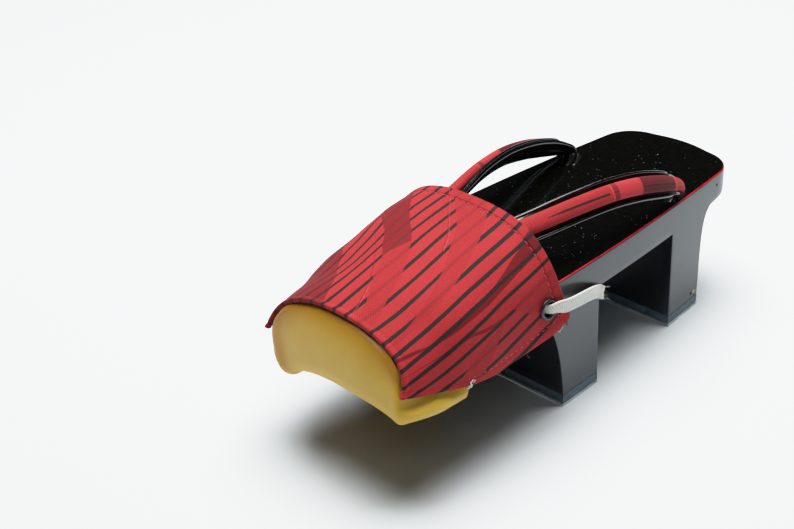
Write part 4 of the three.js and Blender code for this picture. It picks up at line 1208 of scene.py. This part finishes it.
# The straps: a padded cloth tube on a wider glossy black lining with a corded edge.
strap = {
    "stations": [  # number, centre, the way its top faces, size
        (0, -2, -61.5, 73.8, 0.1, -0.05, 1, 0.78),
        (1, 5.5, -54.8, 75, 0.2, -0.1, 0.98, 0.9),
        (2, 13, -44.6, 77.4, 0.36, -0.14, 0.92, 1),
        (3, 19.4, -31.5, 79.6, 0.5, -0.14, 0.85, 1),
        (4, 22.6, -20, 80.7, 0.6, -0.1, 0.79, 1),
        (5, 26.9, 0, 82.4, 0.74, 0, 0.67, 1),
        (6, 30.1, 20, 82.3, 0.8, 0.05, 0.6, 1),
        (7, 31.9, 38, 79.6, 0.83, 0.12, 0.55, 1),
        (8, 32.9, 52, 75.8, 0.83, 0.2, 0.52, 0.95),
        (9, 33, 61.5, 72.4, 0.8, 0.42, 0.43, 0.84),
        (10, 32.4, 68.4, 69, 0.66, 0.7, 0.25, 0.7),
        (11, 31.2, 71.8, 65.8, 0.45, 0.88, -0.2, 0.6),
        (12, 30, 69.3, 62.6, 0.2, 0.66, -0.75, 0.53),
        (13, 29.2, 60.7, 55.8, 0.1, 0.62, -0.78, 0.54),
        (14, 28.8, 56.2, 52.2, 0.1, 0.62, -0.78, 0.54),
    ],
    "clothHalf": 3.9,
    "clothTop": 4.25,
    "liningHalf": 6.1,
    "liningTop": 0.3,
    "liningBase": -3.6,
    "leftLower": (7.5, 2.5, 1.8),  # the -X strap lies this much lower round its highest place, and ends sooner
    "leftSooner": (9.4, 1.8, 2.2),
    "cord": 0.75,
    "cordAt": (6.15, 0.15),
    "steps": 150,
    "layLength": 200,  # the size in millimetres of the sheet that its pattern is laid on
    "layWidth": 20,
}


def strapFrame(side):
    place = np.linspace(0, len(strap["stations"]) - 1, strap["steps"])
    row = readTable(strap["stations"], place)
    ahead, behind = readTable(strap["stations"], place + 0.02), readTable(strap["stations"], place - 0.02)
    tangent = unit(ahead[:, 1:4] - behind[:, 1:4])
    face = unit(row[:, 4:7])
    face = unit(face - tangent * (face * tangent).sum(1)[:, None])
    width = np.cross(tangent, face)
    flip = np.array((side, 1, 1))
    if side < 0:
        for axis, key in ((2, "leftLower"), (1, "leftSooner")):
            middle, spread, much = strap[key]
            row[:, 1 + axis] -= much * np.exp(-((place - middle) / spread) ** 2)
    return place, row[:, 1:4] * flip, width * flip, face * flip, row[:, 7]


def strapSkin(side, loop, uvShift=0):
    place, at, width, face, size = strapFrame(side)
    ring = np.array([at + width * (w * size)[:, None] + face * (h * size)[:, None] for w, h in loop]).transpose(1, 0, 2)
    run = runAlong(at)
    uv = [((s + uvShift) / strap["layLength"], 0.5 + w / strap["layWidth"]) for s in run for w, _ in loop]
    return ring.reshape(-1, 3), ringFaces(len(run), len(loop)), uv


def domedLoop(half, top, base, topPower, basePower, count):
    level = (top + base) / 2
    loop = []
    for n in range(count):
        angle = 2 * math.pi * n / count
        power = topPower if math.sin(angle) >= 0 else basePower
        w = half * math.copysign(abs(math.cos(angle)) ** (2 / power), math.cos(angle))
        h = math.copysign(abs(math.sin(angle)) ** (2 / power), math.sin(angle))
        loop.append((w, level + h * (top - base) / 2))
    return loop


def bothSides(name, make, material):
    points, faces, uv = [], [], []
    for side in (1, -1):
        more, moreFaces, moreUv = make(side)
        faces += [tuple(i + len(points) for i in face) for face in moreFaces]
        points += [tuple(p) for p in more]
        uv += [tuple(p) for p in moreUv]
    piece = addPiece(name, points, faces, [material], uv=uv)
    sharpenBy(piece, 60)
    return piece


def strapCordParts(side):
    place, at, width, face, size = strapFrame(side)
    keep = place < 9.0
    points, faces = [], []
    w, h = strap["cordAt"]
    for across in (-1, 1):
        line = at + width * (across * w * size)[:, None] + face * (h * size)[:, None]
        line = line[keep]
        fade = np.clip((9.0 - place[keep]) / 0.35, 0.05, 1) ** 0.5
        more, moreFaces = tubeParts(line, strap["cord"] * fade, 12, len(points))
        points += more
        faces += moreFaces
    return points, faces, [(0, 0)] * len(points)


def strapClothFinish():
    # The same printed cotton as the cover, pulled over padding: a stripe runs along it and printed fields cross it, and
    # a seam across it is drawn as a painted highlight and a painted shade.
    material, tree, shader = newMaterial("strapPrintedCotton", {"Roughness": 0.78, **clothSheen})
    lay = addNode(tree, "UVMap", {"uv_map": "lay"})
    split = addNode(tree, "SeparateXYZ", links={0: lay})
    along, across = split.outputs[0], split.outputs[1]
    long = strap["layLength"]
    # the light line at 87.6 mm and the dark band after it are the painted highlight and painted shade of the cross seam
    fields = [(0, "#A3262B"), (87.6, "#C04048"), (88.8, "#821A20"), (92, "#B4323A"), (106.8, "#5E1016"),
              (132, "#B4323A"), (134, "#96222A")]
    ramp = addNode(tree, "ValToRGB", {}, {0: along})
    ramp.color_ramp.interpolation = "CONSTANT"
    for n, (place, code) in enumerate(fields):
        stop = ramp.color_ramp.elements[0] if n == 0 else ramp.color_ramp.elements.new(place / long)
        stop.position, stop.color = place / long, hexColour(code)
    ramp.color_ramp.elements.remove(ramp.color_ramp.elements[len(fields)])
    field = ramp.outputs[0]
    # a dark stripe down the middle, and a pair beside it at the heel end
    stripes = [(0.52, 0.025, 53, 86.6), (0.52, 0.025, 89.4, 92), (0.55, 0.027, 107.6, 132), (0.62, 0.008, 107.6, 132)]
    for centre, half, low, high in stripes:
        off = addNode(tree, "Math", {"operation": "SUBTRACT", 1: centre}, {0: across})
        off = addNode(tree, "Math", {"operation": "ABSOLUTE"}, {0: off})
        taper = addNode(tree, "MapRange", {1: low / long, 2: (low + 9) / long, 3: 0.3, 4: 1.0}, {0: along})
        wide = addNode(tree, "Math", {"operation": "MULTIPLY", 1: half}, {0: taper})
        line = addNode(tree, "Math", {"operation": "LESS_THAN"}, {0: off, 1: wide})
        after = addNode(tree, "Math", {"operation": "GREATER_THAN", 1: low / long}, {0: along})
        before = addNode(tree, "Math", {"operation": "LESS_THAN", 1: high / long}, {0: along})
        line = addNode(tree, "Math", {"operation": "MULTIPLY"}, {0: line, 1: after})
        line = addNode(tree, "Math", {"operation": "MULTIPLY"}, {0: line, 1: before})
        field = addNode(tree, "Mix", {"data_type": "RGBA", 7: hexColour(clothColours["stripe"])},
                        {0: line, 6: field})
    weave = weaveHeight(tree, along, across, strap["layLength"], strap["layWidth"])
    tone = addNode(tree, "MapRange", {1: 0.15, 2: 0.9, 3: 0.78, 4: 1.2}, {0: weave})
    field = addNode(tree, "VectorMath", {"operation": "SCALE"}, {0: field, 3: tone})
    wire(tree, field, shader, "Base Color")
    bump = addNode(tree, "Bump", {0: 0.5, 1: 0.00012}, {"Height": weave})
    wire(tree, bump, shader, "Normal")
    return material


def enamelFinish():
    # Black enamelled vinyl: a wet-looking skin over fine backing cloth, with soft lengthways ripples in the highlight.
    material, tree, shader = newMaterial("blackEnamelVinyl", {
        "Roughness": 0.16, "IOR": 1.53, "Coat Weight": 0.5, "Coat Roughness": 0.06})
    where = addNode(tree, "NewGeometry").outputs["Position"]
    fine = addNode(tree, "TexNoise", {2: 1400, 3: 2}, {0: where})
    long = addNode(tree, "TexNoise", {2: 110, 3: 2}, {0: where})
    tone = addNode(tree, "Mix", {"data_type": "RGBA", 6: hexColour("#060606"), 7: hexColour("#131314")},
                   {0: fine})
    wire(tree, tone, shader, "Base Color")
    height = addNode(tree, "Math", {"operation": "MULTIPLY_ADD", 1: 0.12}, {0: fine, 2: long})
    bump = addNode(tree, "Bump", {0: 0.35, 1: 0.0003}, {"Height": height})
    wire(tree, bump, shader, "Normal")
    return material


strapCotton, enamel = strapClothFinish(), enamelFinish()
clothLoop = domedLoop(strap["clothHalf"], strap["clothTop"], 0, 2.3, 3, 28)
liningLoop = domedLoop(strap["liningHalf"], 2.2, strap["liningBase"], 3.4, 2.3, 40)
liningLoop = [(w, min(h, strap["liningTop"])) for w, h in liningLoop]
strapTops = bothSides("strapTops", lambda side: strapSkin(side, clothLoop, 0 if side > 0 else 21), strapCotton)
settle(strapTops, "red_cloth", "strap_tops")
strapLinings = bothSides("strapLinings", lambda side: strapSkin(side, liningLoop), enamel)
settle(strapLinings, "black_enamel", "strap_linings")
strapCords = bothSides("strapEdgeCords", strapCordParts, enamel)
settle(strapCords, "black_enamel")
print("straps made")


# The post between the toes with the loop that holds the crossing.
thong = {"radius": 4.3, "loopWidth": 8, "loopThick": 1.9, "loopY": 9, "loopZ": 5.6, "centreZ": 74.2}


def frontThong(cloth):
    y = board["thongHole"][0]
    z = np.linspace(board["undersideZ"] + 0.6, thong["centreZ"] - 3.6, 40)
    fold = thong["radius"] + 0.22 * np.sin(z * 1.5)
    points, faces = tubeParts(np.stack([np.zeros_like(z), np.full_like(z, y), z], 1), fold, 28)
    uv = [((120 + p[2]) / strap["layLength"], 0.5 + p[0] / strap["layWidth"]) for p in points]
    steps, count, thick = 56, 16, thong["loopThick"] / 2
    for i in range(steps):
        angle = 2 * math.pi * i / steps
        reachY, reachZ = thong["loopY"] + thick, thong["loopZ"] + thick
        out = unit(np.array((0, math.cos(angle) / thong["loopY"], math.sin(angle) / thong["loopZ"])))
        middle = np.array((0, y + reachY * math.cos(angle), thong["centreZ"] + reachZ * math.sin(angle)))
        for w, h in domedLoop(thong["loopWidth"] / 2, thick, -thick, 3, 3, count):
            points.append(middle + np.array((w, 0, 0)) + out * h)
            uv.append((0.2 + i / 400, 0.5 + w / strap["layWidth"]))
    faces += ringFaces(steps, count, len(points) - steps * count, capped=False, closed=True)
    piece = addPiece("frontThong", points, faces, [cloth], uv=uv)
    sharpenBy(piece, 60)
    settle(piece, "red_cloth", "front_thong")


frontThong(strapCotton)


# Eyelets, the elastic tie and the small things on them.
def eyeletRing(name, side, node, steel):
    hole, barrel, flange, rim = (eyelets[k] for k in ("hole", "barrel", "flange", "rim"))
    step = 0.7 + eyelets["lift"]
    front = [(barrel, step), (flange - 0.2, step), (flange, step + 0.3), (flange - 0.5, step + rim * 0.8),
             (hole + 0.9, step + rim), (hole + 0.35, step + rim * 0.85), (hole, step + 0.3)]
    profile = [(r, -h) for r, h in front[::-1]] + front
    at, out = eyeletSeat(side)
    one = unit(np.cross(out, (0, 0, 1)))
    two = np.cross(out, one)
    points, steps = [], 64
    for n in range(steps):
        angle = 2 * math.pi * n / steps
        way = one * math.cos(angle) + two * math.sin(angle)
        points += [at + way * r + out * h for r, h in profile]
    piece = addPiece(name, points, ringFaces(steps, len(profile), capped=False, closed=True), [steel])
    subdivide(piece)
    settle(piece, "dark_steel", node)


def steelFinish():
    # Blackened steel, stamped and tumbled: dull dark grey, worn lighter in random patches, with tiny scratches.
    material, tree, shader = newMaterial("blackenedSteel", {"Metallic": 1.0, "Roughness": 0.32})
    where = addNode(tree, "NewGeometry").outputs["Position"]
    rub = addNode(tree, "TexNoise", {2: 900, 3: 4}, {0: where})
    colour = addNode(tree, "Mix", {"data_type": "RGBA", 6: hexColour("#2A2C2E"), 7: hexColour("#5E6164")},
                     {0: rub})
    wire(tree, colour, shader, "Base Color")
    rough = addNode(tree, "MapRange", {3: 0.22, 4: 0.48}, {0: rub})
    wire(tree, rough, shader, "Roughness")
    bump = addNode(tree, "Bump", {0: 0.1, 1: 0.0001}, {"Height": rub})
    wire(tree, bump, shader, "Normal")
    return material


steel = steelFinish()
eyeletRing("eyeletRight", 1, "eyelet_right", steel)
eyeletRing("eyeletLeft", -1, "eyelet_left", steel)
hub = eyeletSeat(1)[0]
band = {
    "stations": [  # number, centre, width
        (0, hub[0] - 1.5, hub[1] - 1.3, hub[2] + 0.2, 3.8),
        (1, hub[0] + 1.8, hub[1] + 0.7, hub[2] + 0.3, 4.2),
        (2, hub[0] + 3.0, hub[1] + 4.4, hub[2] + 0.3, 5.2),
        (3, 47.6, -30, 55.7, 6.1),
        (4, 47.0, -22, 54.3, 6.3),
        (5, 44.9, -11, 51.6, 6.3),
        (6, 42.7, -2.6, 48.4, 6.1),
        (7, 42, 1.25, 45.9, 5.9),
        (8, 39.2, 1.95, 45.35, 6.1),
        (9, 20, 1.6, 45.3, 6.3),
        (10, 0, 1.6, 45.3, 6.3),
    ],
    "halfThick": 0.52,
    "ribs": 7,
    "layLength": 200,
}


def elasticBand(elastic):
    last = len(band["stations"]) - 1
    rows = list(band["stations"]) + [(2 * last - s, -x, y, z, w) for s, x, y, z, w in band["stations"][:-1][::-1]]
    place = np.linspace(0, 2 * last, 260)
    row = readTable(rows, place)
    tangent = unit(readTable(rows, place + 0.02)[:, 1:4] - readTable(rows, place - 0.02)[:, 1:4])
    up = unit(np.array((0, 0, 1.0)) - tangent * tangent[:, 2:3])
    out = np.cross(tangent, up)
    count = 40
    points, uv = [], []
    run = runAlong(row[:, 1:4])
    for at, u, o, width, s in zip(row[:, 1:4], up, out, row[:, 4], run):
        for w, h in domedLoop(width / 2, band["halfThick"], -band["halfThick"], 6, 6, count):
            rib = 1 + 0.16 * math.cos(2 * math.pi * band["ribs"] * w / width)
            points.append(at + u * (w + 0.06 * math.sin(s * 5.2)) + o * h * rib)
            uv.append((s / band["layLength"], 0.5 + w / width / 2))
    piece = addPiece("elasticTie", points, ringFaces(len(place), count), [elastic], uv=uv)
    sharpenBy(piece, 70)
    settle(piece, "white_elastic", "tie_band")


def elasticFinish():
    # Flat braided elastic: white cotton and nylon over rubber cores, ribbed lengthways, with a soft fuzz gone grey.
    material, tree, shader = newMaterial("braidedElastic", {"Roughness": 0.88, "IOR": 1.5, "Sheen Weight": 0.4})
    lay = addNode(tree, "UVMap", {"uv_map": "lay"})
    split = addNode(tree, "SeparateXYZ", links={0: lay})
    braid = weaveHeight(tree, *split.outputs[:2], band["layLength"], 6.3, 0.7)
    tone = addNode(tree, "Mix", {"data_type": "RGBA", 6: hexColour("#B9B7AE"), 7: hexColour("#F2F0E8")},
                   {0: braid})
    wire(tree, tone, shader, "Base Color")
    bump = addNode(tree, "Bump", {0: 0.6, 1: 0.00025}, {"Height": braid})
    wire(tree, bump, shader, "Normal")
    return material


elasticBand(elasticFinish())
print("eyelets and elastic made")


# Loose white threads: a knot where the lower stitching starts, a pulled loop near its end, and fuzz on the elastic.
looseThreads = [
    (0.3, [(44.3, -86.6, 45.2), (45.2, -86.3, 45.7), (45.5, -87.4, 45.3), (44.9, -88.2, 44.6), (45.4, -88.6, 43.7),
           (45.7, -87.5, 43.3), (45.1, -86.5, 43.9), (45.4, -85.8, 44.7), (45.5, -85.2, 45.3)]),
    (0.3, [(44.8, -87.6, 45.2), (45.8, -87.9, 44.7), (45.8, -88.8, 43.5), (45.2, -89.3, 43), (44.6, -88.5, 42.9)]),
    (0.25, [(46.2, -31.2, 47), (46.9, -31.9, 46.2), (47, -33, 45.2), (46.8, -33.9, 44.5), (46.4, -34.2, 44.2)]),
    (0.035, [(45.4, -53, 41.6), (46.2, -53.4, 41), (46.6, -52.8, 40.4)]),
]
fuzz = [(42.5, 1.5, 48.6), (42.4, 1.8, 44.6), (42.4, 1.5, 43)]


def threadPaths():
    paths = []
    for radius, knots in looseThreads:
        rows = [(n,) + tuple(k) for n, k in enumerate(knots)]
        paths.append((radius, readTable(rows, np.linspace(0, len(knots) - 1, 8 * len(knots)))[:, 1:]))
    for n, (x, y, z) in enumerate(fuzz):
        for turn in (0.4, 2.1):
            way = np.array((0.5 + 0.4 * math.sin(n * 2.1 + turn), 0.8, 0.7 * math.cos(n * 1.7 + turn * 3)))
            t = np.linspace(0, 2 + 0.7 * math.sin(n + turn), 7)[:, None]
            paths.append((0.04, np.array((x, y, z)) + unit(way) * t + np.array((0.1, 0, -0.12)) * t * t))
    return paths


whiteThread = threadFinish("whiteCottonThread", "#E8E4DA")
points, faces = manyTubes(threadPaths(), 7)
threads = addPiece("looseThreads", points, faces, [whiteThread])
settle(threads, "white_elastic")


# A brass pin low on the rear tooth, which holds the tread.
pin = {
    "at": (83.3, 8.6),  # place along and height
    "radius": 1.15,
    "height": 0.35,
    "sides": 20,
}


def pinHead(y, z):
    x, height, count = sideAt(y) * leanAt(z), pin["height"], pin["sides"]
    rings = [(1.0, -0.15), (1.0, 0.0), (0.86, height * 0.55), (0.55, height * 0.88), (0.2, height)]
    points = []
    for share, lift in rings:
        for n in range(count):
            angle, radius = 2 * math.pi * n / count, pin["radius"] * share
            points.append((x + lift, y + radius * math.cos(angle), z + radius * math.sin(angle)))
    return points, ringFaces(len(rings), count)


def brassFinish():
    # Drawn brass, tarnished: warm metal gone brown in random patches.
    material, tree, shader = newMaterial("tarnishedBrass", {"Metallic": 1.0, "Roughness": 0.4})
    where = addNode(tree, "NewGeometry").outputs["Position"]
    tarnish = addNode(tree, "TexNoise", {2: 1100, 3: 3}, {0: where})
    colour = addNode(tree, "Mix", {"data_type": "RGBA", 6: hexColour("#8A6A3C"), 7: hexColour("#D8B47A")},
                     {0: tarnish})
    wire(tree, colour, shader, "Base Color")
    bump = addNode(tree, "Bump", {0: 0.2, 1: 0.0001}, {"Height": tarnish})
    wire(tree, bump, shader, "Normal")
    return material


points, faces = pinHead(*pin["at"])
brassPin = addPiece("treadPin", points, faces, [brassFinish()])
settle(brassPin, "dark_steel")
print("small pieces made")
